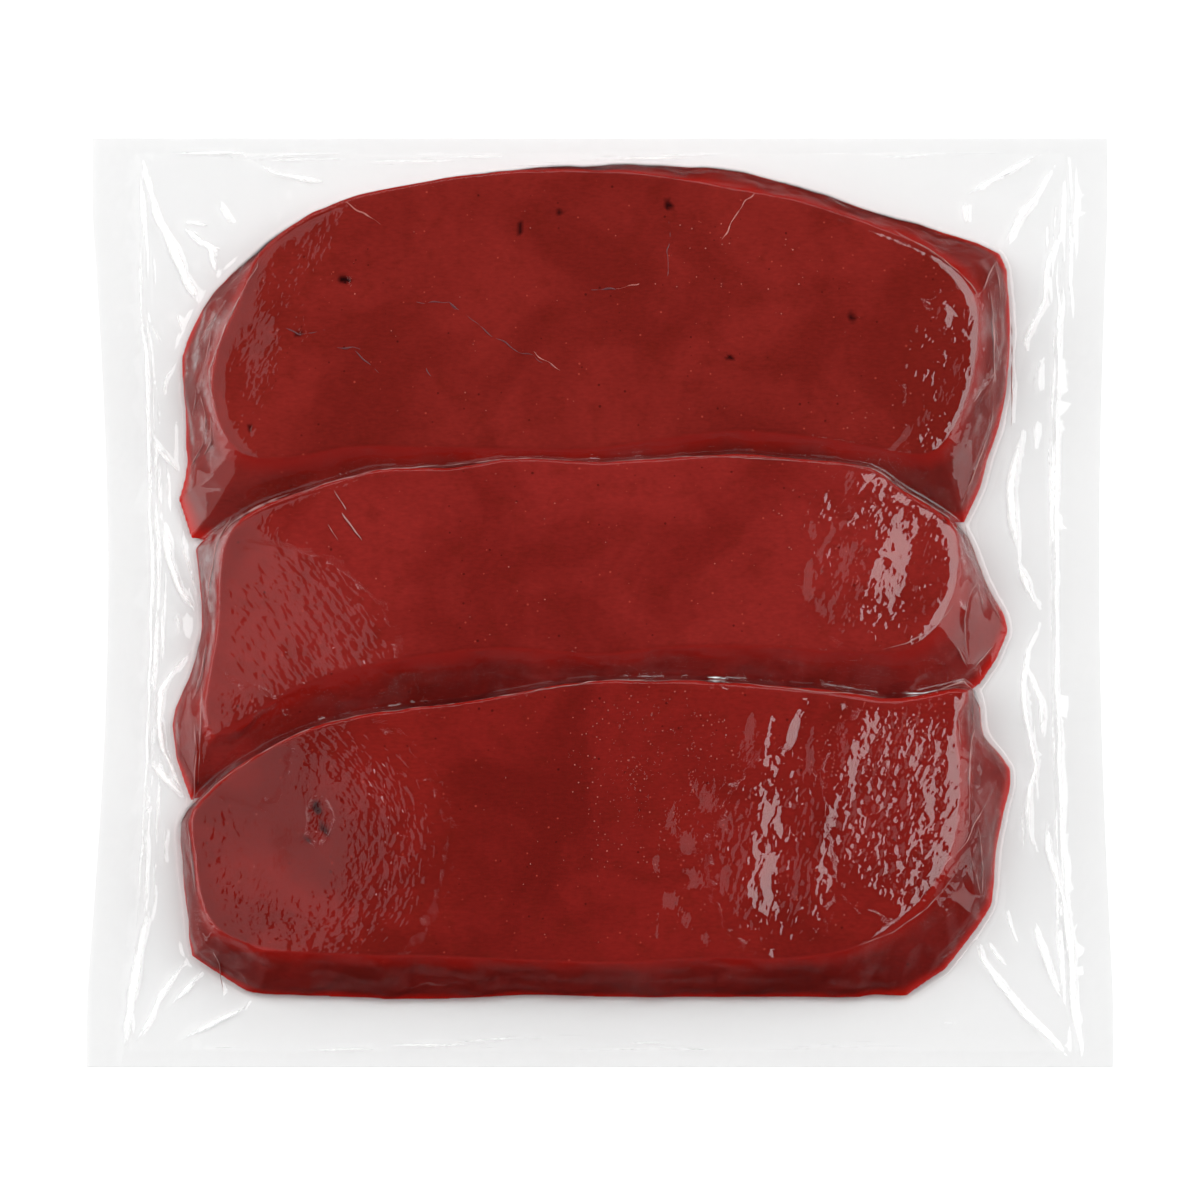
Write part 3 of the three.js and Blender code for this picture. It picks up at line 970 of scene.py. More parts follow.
@dataclass
class Film:
    """The bag: a closed clear shell with a flat back web and a front web drawn over the slices."""

    drape: Drape
    folds: tuple[Fold, ...]
    zones: tuple[Zone, ...]        # how it is crinkled; the first holds wherever no other does
    finish: FilmFinish = FilmFinish()
    side_seal: float = 11.0        # width of the seal along the left or right edge
    end_seal: float = 4.0          # width of the seal along the back or front edge
    seal_step: float = 0.8         # distance over which the film rises out of a seal
    seal_haze: float = 0.02
    bow_left: float = 4.6          # how far each side edge is drawn in at half depth
    bow_right: float = 2.8
    bow_reach: float = 0.84        # share of the half depth over which a side is drawn in
    spacing: float = 0.4           # spacing of the mesh before it is thinned out
    kept: float = 0.235            # share of its faces that stays, most of them where it bends
    slack: float = 0.22            # height of the loose film's waves in the margins
    wobble: float = 0.35           # how far a fold strays from its route
    whiteness: float = 0.8         # how white the painted highlight of the whitest fold is
    relief: float = 0.06           # height of the crinkles' coarser relief where they are strongest
    relief_size: float = 1.8
    sharp_edge: float = 70.0       # degrees over which an edge, such as the bag's own, is sharp
    # painted sheen of the film down walls that face left, right, back and front, which stands in for
    # their reflections
    painted_sheens: tuple[float, float, float, float] = (0.15, 0.085, 0.02, 0.025)
    side_pleats: int = 64          # short creases along the side seals
    end_pleats: int = 36           # short creases along the end seals

    def __post_init__(self) -> None:
        """Adds the seals' pleats to the folds."""
        self.folds += self.pleats()

    def build(self) -> bpy.types.Object:
        """Builds the film and has it stand for the CAD pouch.

        Returns:
            The finished piece.
        """
        mesh = self.closed(self.thinned())
        places = vertex_places(mesh)
        x, y, z = places.T
        front = z > self.drape.web / 2
        state = self.state(x, y)
        places[:, 2] = np.where(front, state.z, 0.0)
        write_places(mesh, places)
        for name in ("painted_glint", "haze_and_sheen", "crinkle"):
            write_shares(mesh, name, getattr(state, name) * front)
        flow = mesh.attributes.new("flow", "FLOAT_VECTOR", "POINT")
        flow.data.foreach_set("vector", np.ascontiguousarray(state.flow, dtype=np.float32).ravel())
        piece = new_piece("film", mesh)
        heights = read_rows(mesh.polygons, "center")[:, 2]
        mesh.polygons.foreach_set("use_smooth", heights > 0.75 * self.drape.web * MM)
        mesh.set_sharp_from_angle(angle=math.radians(self.sharp_edge))
        mesh.materials.append(self.finish.build())
        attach(piece, BODY)
        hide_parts("pouch")
        return piece

    def pleats(self) -> tuple[Fold, ...]:
        """Draws the many fine creases that the film forms along the inner borders of its seals.

        Two long ones run along each side seal, and short ones lie at random places. Each has a
        highlight painted on its crest.

        Returns:
            The creases.
        """
        draw = np.random.default_rng(5)
        side_reach, end_reach = 114, 112       # how far from the middle a short crease may run
        end_border = 115.5                     # how far from the middle an end seal's crease lies
        pleats: list[Fold] = []

        def add_side(side: int, inset: float, start: float, end: float, painted_glint: float) -> None:
            """Adds a crease beside the inner border of a side seal, which bows with the edge."""
            steps = np.linspace(start, end, max(3, round(abs(end - start) / 12)))
            inner = self.edge(np.full(steps.shape, float(side)), steps) - self.side_seal - inset
            route = tuple((side * float(x), float(y)) for x, y in zip(inner, steps))
            pleats.append(Fold(route, left=0.6, right=0.7, height=0.15, painted_glint=painted_glint))

        for side in (-1, 1):
            add_side(side, 0.0, -116, 116, 0.8)
            add_side(side, 1.4, -112, 108, 0.6)
        for _ in range(self.side_pleats):
            side = int(draw.choice((-1, 1)))
            start, length = draw.uniform(-106, 104), draw.uniform(6, 26)
            inset, end = draw.exponential(1.8), min(start + length, side_reach)
            add_side(side, inset, start, end, draw.uniform(0.45, 0.75))
        for _ in range(self.end_pleats):
            side = draw.choice((-1, 1))
            start, length = draw.uniform(-112, 90), draw.uniform(8, 44)
            inner = end_border - draw.exponential(1.2)
            drift = draw.normal(0.0, 0.02) * length
            end = (min(start + length, end_reach), side * (inner + drift))
            painted_glint = draw.uniform(0.45, 0.7)
            pleats.append(Fold(((start, side * inner), end), 0.6, 0.7, height=0.12, painted_glint=painted_glint))
        return tuple(pleats)

    def edge(self, x: Grid, y: Grid) -> Grid:
        """Works out how far from the middle the bag's bowed side edge lies at each place."""
        share = np.minimum(1.0, np.abs(y) / (self.bow_reach * self.drape.half_depth))
        bow = np.where(x < 0, self.bow_left, self.bow_right)
        return self.drape.half_width - bow * np.cos(share * math.pi / 2)

    def thinned(self) -> bpy.types.Mesh:
        """Lays an even mesh out inside the bag's outline and thins it where it is level.

        Returns:
            The front web's mesh.
        """
        half_width, half_depth = self.drape.half_width, self.drape.half_depth
        x, y = np.meshgrid(
            np.linspace(-half_width, half_width, round(2 * half_width / self.spacing) + 1),
            np.linspace(-half_depth, half_depth, round(2 * half_depth / self.spacing) + 1))
        pull = ease(0.75 * half_width, half_width, np.abs(x))
        x = x - np.sign(x) * (half_width - self.edge(x, y)) * pull
        web = new_piece("film.web", sheet_mesh("film.web", x, y, self.state(x, y).z))
        thin = web.modifiers.new("thin", "DECIMATE")
        thin.ratio = self.kept
        return evaluated_mesh(web)

    @staticmethod
    def closed(mesh: bpy.types.Mesh) -> bpy.types.Mesh:
        """Joins the front web to a flat back web along the bag's edge.

        Blender's own extrusion would give the walls between them in another order on each run.

        Args:
            mesh: The front web, which is changed.

        Returns:
            The closed mesh.
        """
        shell = bmesh.new()
        shell.from_mesh(mesh)
        border = [tuple(edge.verts) for edge in shell.edges if edge.is_boundary]
        below: dict[bmesh.types.BMVert, bmesh.types.BMVert] = {}
        for vertex in (vertex for pair in border for vertex in pair):
            if vertex not in below:
                below[vertex] = shell.verts.new((vertex.co.x, vertex.co.y, 0.0))
        walls = [shell.faces.new((a, b, below[b], below[a])) for a, b in border]
        bmesh.ops.edgeloop_fill(shell, edges=[wall.edges[2] for wall in walls])
        bmesh.ops.recalc_face_normals(shell, faces=shell.faces)
        shell.to_mesh(mesh)
        shell.free()
        return mesh

    def state(self, x: Grid, y: Grid) -> WebState:
        """Works out the front web's height, its painted crease highlights, hazy seals and painted wall
        sheen, and its crinkles.

        Args:
            x: Places along X.
            y: Places along Y.

        Returns:
            The web's state at each place.
        """
        z = self.drape.at(x, y)
        blur = self.seal_step / 2
        seal = np.maximum(
            ease(self.side_seal + blur, self.side_seal - blur, self.edge(x, y) - np.abs(x)),
            ease(self.end_seal + blur, self.end_seal - blur, self.drape.half_depth - np.abs(y)))
        loose = self.drape.at(x, y, self.drape.free) * (1 - seal)
        waves = (
            soft_noise(x + 0.5 * y, y, 17.0, 41) + 0.5 * soft_noise(x, y, 7.0, 42)
            + 0.25 * soft_noise(x, y, 3.0, 43))
        z = z + self.slack * loose * (0.8 + waves)
        painted_glint = np.zeros_like(z)
        self.fold(x, y, z, painted_glint)
        crinkle, flow = self.crinkled(x, y)
        z += self.relief * crinkle * soft_noise(x, y, self.relief_size, 57)
        # haziness of the seals, and the painted sheen of the walls
        haze_and_sheen = np.maximum(self.seal_haze * seal, self.painted_wall_sheen(x, y))
        return WebState(z, np.clip(painted_glint, 0.0, 1.0), haze_and_sheen, crinkle, flow)

    def painted_wall_sheen(self, x: Grid, y: Grid) -> Grid:
        """Works out the painted sheen of the film on steep walls, which lies in streaks along the
        walls.

        Args:
            x: Places along X.
            y: Places along Y.

        Returns:
            The painted sheen at each place, which is 0 on level film and over the foot of a wall.
        """
        rise_x, rise_y = (self.drape.at(x, y, rise) for rise in self.drape.rise)
        rise = np.hypot(rise_x, rise_y)
        across, along = rise_x / np.maximum(rise, 0.01), rise_y / np.maximum(rise, 0.01)
        sides = (across, -across, -along, along)
        painted_sheen = sum(painted_sheen * np.maximum(side, 0.0) ** 2 for painted_sheen, side in zip(self.painted_sheens, sides))
        painted_sheen *= 0.5 + 0.5 * ease(-70.0, 30.0, y)       # painted sheen half as strong at the front
        height = self.drape.at(x, y)
        run = np.where(np.abs(across) > np.abs(along), y, x)
        streaks = soft_noise(0.8 * height + 0.12 * run, 0.15 * run, 1.3, 55)
        streaked = 0.15 + 0.85 * ease(-0.15, 0.4, streaks)
        return painted_sheen * streaked * ease(0.5, 1.5, rise) * ease(2.5, 5.0, height)

    def crinkled(self, x: Grid, y: Grid) -> tuple[Grid, Grid]:
        """Works out how strongly the film is crinkled, and each place's coordinates in crinkles.

        Where one zone takes over from another, the crinkles fade to nothing.

        Args:
            x: Places along X.
            y: Places along Y.

        Returns:
            The strength, and rows of coordinates.
        """
        strongest, second, size = np.zeros(x.shape), np.zeros(x.shape), np.ones(x.shape)
        flow = np.zeros((*x.shape, 3))
        for zone in self.zones:
            here = zone.strength * zone.share(x, y)
            stronger = here > strongest
            second = np.where(stronger, strongest, np.maximum(second, here))
            strongest = np.where(stronger, here, strongest)
            size = np.where(stronger, zone.size, size)
            for i, coordinate in enumerate(zone.flow(x, y)):
                flow[..., i] = np.where(stronger, coordinate, flow[..., i])
        below = 0.15               # share of the crinkles that is left on the walls and margins
        on_top = below + (1 - below) * ease(8.0, 11.0, self.drape.at(x, y))
        return (strongest - second) * size * on_top, flow

    def fold(self, x: Grid, y: Grid, z: Grid, painted_glint: Grid) -> None:
        """Raises the folds and paints white highlights on their crests.

        Args:
            x: Places along X.
            y: Places along Y.
            z: The web's heights, which are changed.
            painted_glint: How white its painted highlight is, which is changed.
        """
        stray_x = x + self.wobble * soft_noise(x, y, 7.0, 51)
        stray_y = y + self.wobble * soft_noise(x, y, 7.0, 52)
        uneven = 1 + 0.45 * soft_noise(x, y, 5.0, 53)
        for fold in self.folds:
            near = fold.near(x, y)
            beside, share = follow_route(stray_x[near], stray_y[near], fold.route)
            flank = np.where(beside > 0, fold.left, fold.right) * uneven[near]
            taper = np.sqrt(np.sin(math.pi * np.clip(share, 0.02, 0.98)))
            rise = np.clip(1 - np.abs(beside) / flank, 0.0, 1.0)
            z[near] += fold.height * rise * taper
            painted_glint[near] = np.maximum(painted_glint[near], self.whiteness * fold.painted_glint * taper * rise)


# --------------------------------------------------------------------- details under the film


def geometry_tree(
    name: str, inputs: dict[str, tuple[str, object]]
) -> tuple[bpy.types.NodeTree, bpy.types.Node, bpy.types.Node]:
    """Starts a Geometry Nodes tree with a geometry input and output and some named inputs.

    Args:
        name: Name of the tree.
        inputs: Socket type and value of each input, by its name.

    Returns:
        The tree, its input node and its output node.
    """
    tree = bpy.data.node_groups.new(name, "GeometryNodeTree")
    tree.interface.new_socket("Geometry", in_out="INPUT", socket_type="NodeSocketGeometry")
    tree.interface.new_socket("Geometry", in_out="OUTPUT", socket_type="NodeSocketGeometry")
    for label, (kind, _) in inputs.items():
        tree.interface.new_socket(label, in_out="INPUT", socket_type=kind)
    return tree, add_node(tree, "NodeGroupInput"), add_node(tree, "NodeGroupOutput")


def dress(
    tree: bpy.types.NodeTree, geometry: bpy.types.NodeSocket, given: bpy.types.Node,
    result: bpy.types.Node,
) -> None:
    """Ends a Geometry Nodes tree: makes its instances real and gives them its finish.

    Args:
        tree: The tree.
        geometry: What the tree has made.
        given: The tree's input node, with an input "Finish".
        result: The tree's output node.
    """
    real = add_node(tree, "GeometryNodeRealizeInstances", links={"Geometry": geometry})
    dressed = add_node(
        tree, "GeometryNodeSetMaterial", links={
            "Geometry": real.outputs["Geometry"], "Material": given.outputs["Finish"]})
    tree.links.new(dressed.outputs["Geometry"], result.inputs["Geometry"])


def grow(
    seed: bpy.types.Object, tree: bpy.types.NodeTree, inputs: dict[str, tuple[str, object]]
) -> bpy.types.Mesh:
    """Runs a Geometry Nodes tree on an object and keeps the result as a plain mesh.

    Args:
        seed: Object that the tree starts from, which is removed.
        tree: The tree.
        inputs: Socket type and value of each input, by its name.

    Returns:
        The finished mesh.
    """
    modifier = seed.modifiers.new(tree.name, "NODES")
    modifier.node_group = tree
    for socket in tree.interface.items_tree:
        if socket.item_type == "SOCKET" and socket.name in inputs:
            modifier[socket.identifier] = inputs[socket.name][1]
    return evaluated_mesh(seed)


@dataclass(frozen=True)
class Thread:
    """A thin line on a surface, such as a vein or a crease, with its thickness in its middle."""

    route: Route
    thickness: float


@dataclass
class Threads:
    """Veins, scratches or sharp film creases that run over a surface, thinning out to both ends."""

    name: str
    drape: Drape
    surface: Grid                  # heights that the threads follow, on the drape's grid
    threads: tuple[Thread, ...]
    finish: PlainFinish
    slot: str
    sink: float                    # how far a thread's middle lies under that surface
    stray: float = 0.55            # how far a thread strays from its route
    spacing: float = 0.6           # distance between the rings along a thread
    sides: int = 8                 # sides of a thread's cross-section

    def build(self) -> bpy.types.Object:
        """Builds the threads.

        Returns:
            The finished piece.
        """
        inputs = {
            "Spacing": ("NodeSocketFloat", self.spacing * MM),
            "Sides": ("NodeSocketInt", self.sides),
            "Finish": ("NodeSocketMaterial", self.finish.build()),
        }
        piece = new_piece(self.name, grow(self.routes(), self.tree(inputs), inputs))
        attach(piece, BODY)
        return piece

    def routes(self) -> bpy.types.Object:
        """Lays a curve along each thread, on its surface.

        Returns:
            The object that holds the curves.
        """
        curves = bpy.data.curves.new(self.name + ".routes", "CURVE")
        curves.dimensions = "3D"
        for thread in self.threads:
            points = self.wandering(thread.route)
            spline = curves.splines.new("POLY")
            spline.points.add(len(points) - 1)
            for i, (x, y) in enumerate(points):
                height = float(self.drape.at(np.array(x), np.array(y), self.surface)) - self.sink
                place = spline.points[i]
                place.co = (x * MM, y * MM, height * MM, 1.0)
                share = math.sin(math.pi * (i + 0.4) / (len(points) - 0.2)) ** 0.6
                uneven = 0.62 + 0.75 * float(soft_noise(np.array(x), np.array(y), 1.7, 63))
                place.radius = thread.thickness / 2 * MM * share * max(uneven, 0.12)
        holder = bpy.data.objects.new(self.name + ".routes", curves)
        bpy.context.scene.collection.objects.link(holder)
        return holder

    def wandering(self, route: Route) -> list[Point]:
        """Splits a route into short steps that stray a little from it.

        Args:
            route: Points of the route.

        Returns:
            The points of the finer route.
        """
        step = 0.8
        points = []
        for (ax, ay), (bx, by) in zip(route, route[1:]):
            count = max(2, round(math.dist((ax, ay), (bx, by)) / step))
            for i in range(count):
                x, y = ax + (bx - ax) * i / count, ay + (by - ay) * i / count
                dx = float(soft_noise(np.array(x), np.array(y), 2.5, 61))
                dy = float(soft_noise(np.array(x), np.array(y), 2.5, 62))
                points.append((x + self.stray * dx, y + self.stray * dy))
        return [*points, route[-1]]

    def tree(self, inputs: dict[str, tuple[str, object]]) -> bpy.types.NodeTree:
        """Makes the tree that turns each curve into a thin tapered tube.

        Args:
            inputs: Socket type and value of each input, by its name.

        Returns:
            The tree.
        """
        tree, given, result = geometry_tree(self.name, inputs)
        curve = add_node(
            tree, "GeometryNodeResampleCurve", {"mode": "LENGTH"},
            {"Curve": given.outputs["Geometry"], "Length": given.outputs["Spacing"]})
        ring = add_node(
            tree, "GeometryNodeCurvePrimitiveCircle", {"Radius": 1.0},
            {"Resolution": given.outputs["Sides"]})
        thickness = add_node(tree, "GeometryNodeInputRadius")
        tube = add_node(
            tree, "GeometryNodeCurveToMesh", {"Fill Caps": True},
            {"Curve": curve.outputs["Curve"], "Profile Curve": ring.outputs["Curve"],
             "Scale": thickness.outputs["Radius"]})
        dress(tree, tube.outputs["Mesh"], given, result)
        return tree


@dataclass
class Bubbles:
    """Tiny flattened bubbles of air and juice that are caught between the meat and the film."""

    drape: Drape
    zones: tuple[Zone, ...]
    finish: PlainFinish
    spread: float = 0.006          # bubbles on each square millimetre outside the zones
    crowd: float = 0.20            # bubbles on each square millimetre in the middle of a zone
    smallest: float = 0.06         # radius
    largest: float = 0.24
    flatness: float = 0.45
    lift: float = 0.14             # height of a bubble's middle over the meat
    step: float = 1.5              # spacing of the sheet that the bubbles are scattered on
    steepest: float = 0.25         # slope of the meat over which there are no bubbles
    seed: int = 7

    def build(self) -> bpy.types.Object:
        """Builds the bubbles.

        Returns:
            The finished piece.
        """
        inputs = {
            "Crowd": ("NodeSocketFloat", self.crowd / MM ** 2),
            "Smallest": ("NodeSocketFloat", self.smallest * MM),
            "Largest": ("NodeSocketFloat", self.largest * MM),
            "Flatness": ("NodeSocketFloat", self.flatness),
            "Seed": ("NodeSocketInt", self.seed),
            "Finish": ("NodeSocketMaterial", self.finish.build()),
        }
        piece = new_piece("bubbles", grow(self.sheet(), self.tree(inputs), inputs))
        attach(piece, BODY)
        return piece

    def sheet(self) -> bpy.types.Object:
        """Makes the sheet over the slices' tops that the bubbles are scattered on.

        Returns:
            The sheet, with the share of the full crowd stored at each point.
        """
        half_width, half_depth = self.drape.half_width, self.drape.half_depth
        x, y = np.meshgrid(
            np.arange(-half_width, half_width, self.step),
            np.arange(-half_depth, half_depth, self.step))
        meat = self.drape.at(x, y, self.drape.meat)
        slope = np.hypot(*np.gradient(meat, self.step))
        share = np.full(x.shape, self.spread / self.crowd)
        for zone in self.zones:
            share = np.maximum(share, zone.strength * zone.share(x, y))
        patchy = ease(-0.5, 0.5, soft_noise(x, y, 5.0, 71))
        share = share * (0.3 + 0.9 * patchy) * (meat > TOP_FACE) * (slope < self.steepest)
        mesh = sheet_mesh("bubbles.sheet", x, y, meat + self.lift)
        write_shares(mesh, "crowd", share)
        return new_piece("bubbles.sheet", mesh)

    def tree(self, inputs: dict[str, tuple[str, object]]) -> bpy.types.NodeTree:
        """Makes the tree that scatters the bubbles.

        Args:
            inputs: Socket type and value of each input, by its name.

        Returns:
            The tree.
        """
        tree, given, result = geometry_tree("bubbles", inputs)
        share = add_node(
            tree, "GeometryNodeInputNamedAttribute", {"data_type": "FLOAT", "Name": "crowd"})
        density = add_node(
            tree, "ShaderNodeMath", {"operation": "MULTIPLY"},
            {0: share.outputs["Attribute"], 1: given.outputs["Crowd"]})
        points = add_node(
            tree, "GeometryNodeDistributePointsOnFaces", {"distribute_method": "RANDOM"},
            {"Mesh": given.outputs["Geometry"], "Density": density.outputs["Value"],
             "Seed": given.outputs["Seed"]})
        ball = add_node(tree, "GeometryNodeMeshUVSphere", {"Segments": 8, "Rings": 5, "Radius": 1.0})
        size = add_node(
            tree, "FunctionNodeRandomValue", {"data_type": "FLOAT"},
            {2: given.outputs["Smallest"], 3: given.outputs["Largest"],
             "Seed": given.outputs["Seed"]})
        height = add_node(
            tree, "ShaderNodeMath", {"operation": "MULTIPLY"},
            {0: size.outputs[1], 1: given.outputs["Flatness"]})
        scale = add_node(
            tree, "ShaderNodeCombineXYZ",
            links={"X": size.outputs[1], "Y": size.outputs[1], "Z": height.outputs["Value"]})
        placed = add_node(
            tree, "GeometryNodeInstanceOnPoints", links={
                "Points": points.outputs["Points"], "Instance": ball.outputs["Mesh"],
                "Rotation": points.outputs["Rotation"], "Scale": scale.outputs["Vector"]})
        dress(tree, placed.outputs["Instances"], given, result)
        return tree


# ----------------------------------------------------------------------------------------- studio


class Reach(Enum):
    """Which surfaces a light shows on: all of them, only glossy ones or only dull ones."""

    ALL = (True, True)
    GLOSSY = (False, True)
    DULL = (True, False)


@dataclass(frozen=True)
class Softbox:
    """A rectangular soft light that faces the pack."""

    name: str
    tilt: float                    # degrees from straight above
    heading: float                 # degrees from +X towards +Y
    size: Point                    # metres along its heading and across it
    radiance: float                # brightness of its face, where 1 is that of white paper
    reach: Reach = Reach.ALL
    distance: float = 5.2          # metres

    def build(self) -> None:
        """Adds the light, unseen by the camera."""
        light = bpy.data.lights.new(self.name, "AREA")
        light.shape = "RECTANGLE"
        light.size, light.size_y = self.size
        light.energy = self.radiance * math.pi * self.size[0] * self.size[1]
        tilt, heading = math.radians(self.tilt), math.radians(self.heading)
        away = Vector((
            math.sin(tilt) * math.cos(heading), math.sin(tilt) * math.sin(heading), math.cos(tilt)))
        holder = bpy.data.objects.new(self.name, light)
        holder.location = away * self.distance
        holder.rotation_euler = (0.0, tilt, heading)
        holder.visible_camera = False
        holder.visible_diffuse, holder.visible_glossy = self.reach.value
        bpy.context.scene.collection.objects.link(holder)


@dataclass
class Studio:
    """A white floor, soft lights and a camera that looks down on the pack."""

    elevation: float = 80.27       # degrees of the camera above the floor, seen from the front
    view_width: float = 305.9      # millimetres of floor across the picture
    lens: float = 400.0            # millimetres, long enough to keep the outlines parallel
    sensor: float = 36.0
    floor_size: float = 24.0       # metres
    floor_drop: float = 0.3        # how far the floor lies under the pack's underside
    backdrop: float = 0.14         # brightness of the dim room round the lights
    overhead: float = 0.05         # brightness of its ceiling
    low_sides: float = 0.5         # brightness of the floor as the film's side walls mirror it
    softboxes: tuple[Softbox, ...] = (
        Softbox("key_right", tilt=36, heading=12, size=(4.4, 4.8), radiance=4.6, reach=Reach.GLOSSY),
        Softbox("fill_right", tilt=36, heading=25, size=(4.4, 4.8), radiance=3.1, reach=Reach.DULL),
        Softbox("low_right", tilt=74, heading=4, size=(3.0, 5.2), radiance=1.8),
        Softbox("card_left", tilt=43, heading=180, size=(7.6, 6.8), radiance=0.68),
        Softbox("fill_left", tilt=45, heading=165, size=(4.0, 5.0), radiance=2.6, reach=Reach.DULL),
        Softbox("low_left", tilt=76, heading=176, size=(2.8, 5.2), radiance=1.6),
        Softbox("back_top", tilt=58, heading=92, size=(2.2, 6.0), radiance=1.2),
    )

    def build(self) -> None:
        """Builds the floor, the lights and the camera."""
        self.add_floor()
        self.add_world()
        for softbox in self.softboxes:
            softbox.build()
        self.add_camera()

    def add_floor(self) -> None:
        """Adds the floor."""
        half, drop = self.floor_size / 2, -self.floor_drop * MM
        mesh = bpy.data.meshes.new("floor")
        corners = [(-half, -half, drop), (half, -half, drop), (half, half, drop), (-half, half, drop)]
        mesh.from_pydata(corners, [], [(0, 1, 2, 3)])
        floor = new_piece("floor", mesh)
        material, tree = new_material("white_paper")
        surface = add_node(
            tree, "ShaderNodeBsdfPrincipled",
            {"Base Color": linear("f4f4f4"), "Roughness": 0.9, "Specular IOR Level": 0.0})
        add_node(tree, "ShaderNodeOutputMaterial", links={"Surface": surface.outputs["BSDF"]})
        mesh.materials.append(material)
        floor.visible_glossy = False

    def add_world(self) -> None:
        """Adds the room that is mirrored between the lights, with a dark ceiling and bright low sides.

        The floor itself isn't mirrored, so the world stands for it in the mirrored directions that
        point down: bright to the left and right, and dark to the front, as in the photograph.
        """
        world = bpy.data.worlds.new("studio")
        world.use_nodes = True
        tree = world.node_tree
        tree.nodes.clear()
        way = add_node(tree, "ShaderNodeTexCoord")
        way = add_node(tree, "ShaderNodeSeparateXYZ", links={"Vector": way.outputs["Object"]})
        up = {"Value": way.outputs["Z"]}
        ceiling = add_node(
            tree, "ShaderNodeMapRange",
            {"From Min": 0.7, "From Max": 0.95, "To Min": self.backdrop, "To Max": self.overhead}, up)
        room = add_node(tree, "ShaderNodeMapRange", {"From Min": 0.0, "From Max": 0.3}, up)
        room = add_node(
            tree, "ShaderNodeMath", {"operation": "MULTIPLY"},
            {0: room.outputs["Result"], 1: ceiling.outputs["Result"]})
        aside = add_node(tree, "ShaderNodeMath", {"operation": "ABSOLUTE"}, {0: way.outputs["X"]})
        aside = add_node(
            tree, "ShaderNodeMapRange",
            {"From Min": 0.3, "From Max": 0.6, "To Max": self.low_sides},
            {"Value": aside.outputs["Value"]})
        low = add_node(tree, "ShaderNodeMapRange", {"From Min": 0.1, "From Max": -0.1}, up)
        strength = add_node(
            tree, "ShaderNodeMath", {"operation": "MULTIPLY_ADD"},
            {0: aside.outputs["Result"], 1: low.outputs["Result"], 2: room.outputs["Value"]})
        light = add_node(tree, "ShaderNodeBackground", links={"Strength": strength.outputs["Value"]})
        add_node(tree, "ShaderNodeOutputWorld", links={"Surface": light.outputs["Background"]})
        bpy.context.scene.world = world
        bpy.context.scene.view_settings.view_transform = "Standard"

    def add_camera(self) -> None:
        """Adds the camera, which aims at the middle of the pack's underside."""
        camera = bpy.data.cameras.new("camera")
        camera.lens = self.lens
        camera.sensor_width = self.sensor
        camera.clip_end = 100.0
        distance = self.view_width * MM * self.lens / self.sensor
        rise = math.radians(self.elevation)
        holder = bpy.data.objects.new("camera", camera)
        holder.location = (0.0, -math.cos(rise) * distance, math.sin(rise) * distance)
        holder.rotation_euler = (math.pi / 2 - rise, 0.0, 0.0)
        bpy.context.scene.collection.objects.link(holder)
        bpy.context.scene.camera = holder


# ------------------------------------------------------------------------------------------- pack

SLICES = (
    LiverSlice(
        "slice_back", "liver_back", LiverFinish("liver_back_cut", deep="6c1914", fresh="7c201b"),
        pores=(
            Pore((-65, 80), 3.6, 1.8, 1.3, -12), Pore((64, 70.5), 1.8, 2.4, 0.9),
            Pore((17.5, 99.5), 2.4, 2.2, 0.5), Pore((-10, 97.5), 1.4, 1.4, 0.4),
            Pore((-20.5, 93.5), 1.4, 2.8, 0.3), Pore((33, 60), 1.6, 1.4, 0.5),
            Pore((-89, 42), 1.4, 1.6, 0.6), Pore((-76.5, 65.5), 3.4, 1.2, 0.5, -8),
        )),
    LiverSlice(
        "slice_middle", "liver_middle", LiverFinish("liver_middle_cut", deep="701915", fresh="81211d"),
        pores=(Pore((56.5, 50), 1.4, 1.4, 0.4), Pore((88, 18), 1.6, 1.6, 0.4)),
        slopes=(Slope((-108, -42), 58, 0.08, 5.0),)),
    LiverSlice(
        "slice_front", "liver_front", LiverFinish("liver_front_cut", deep="661410", fresh="781a16"),
        pores=(
            Pore((-71.5, -56), 2.4, 3.8, 1.0, 20),
            Pore((-69.8, -61.5), 1.6, 3.6, 0.8, 30),
            Pore((-74, -64), 1.2, 2.0, 0.5, 40),
        ),
        slopes=(Slope((-80.5, -66.5), 26, 0.085, 5.0),)),
)
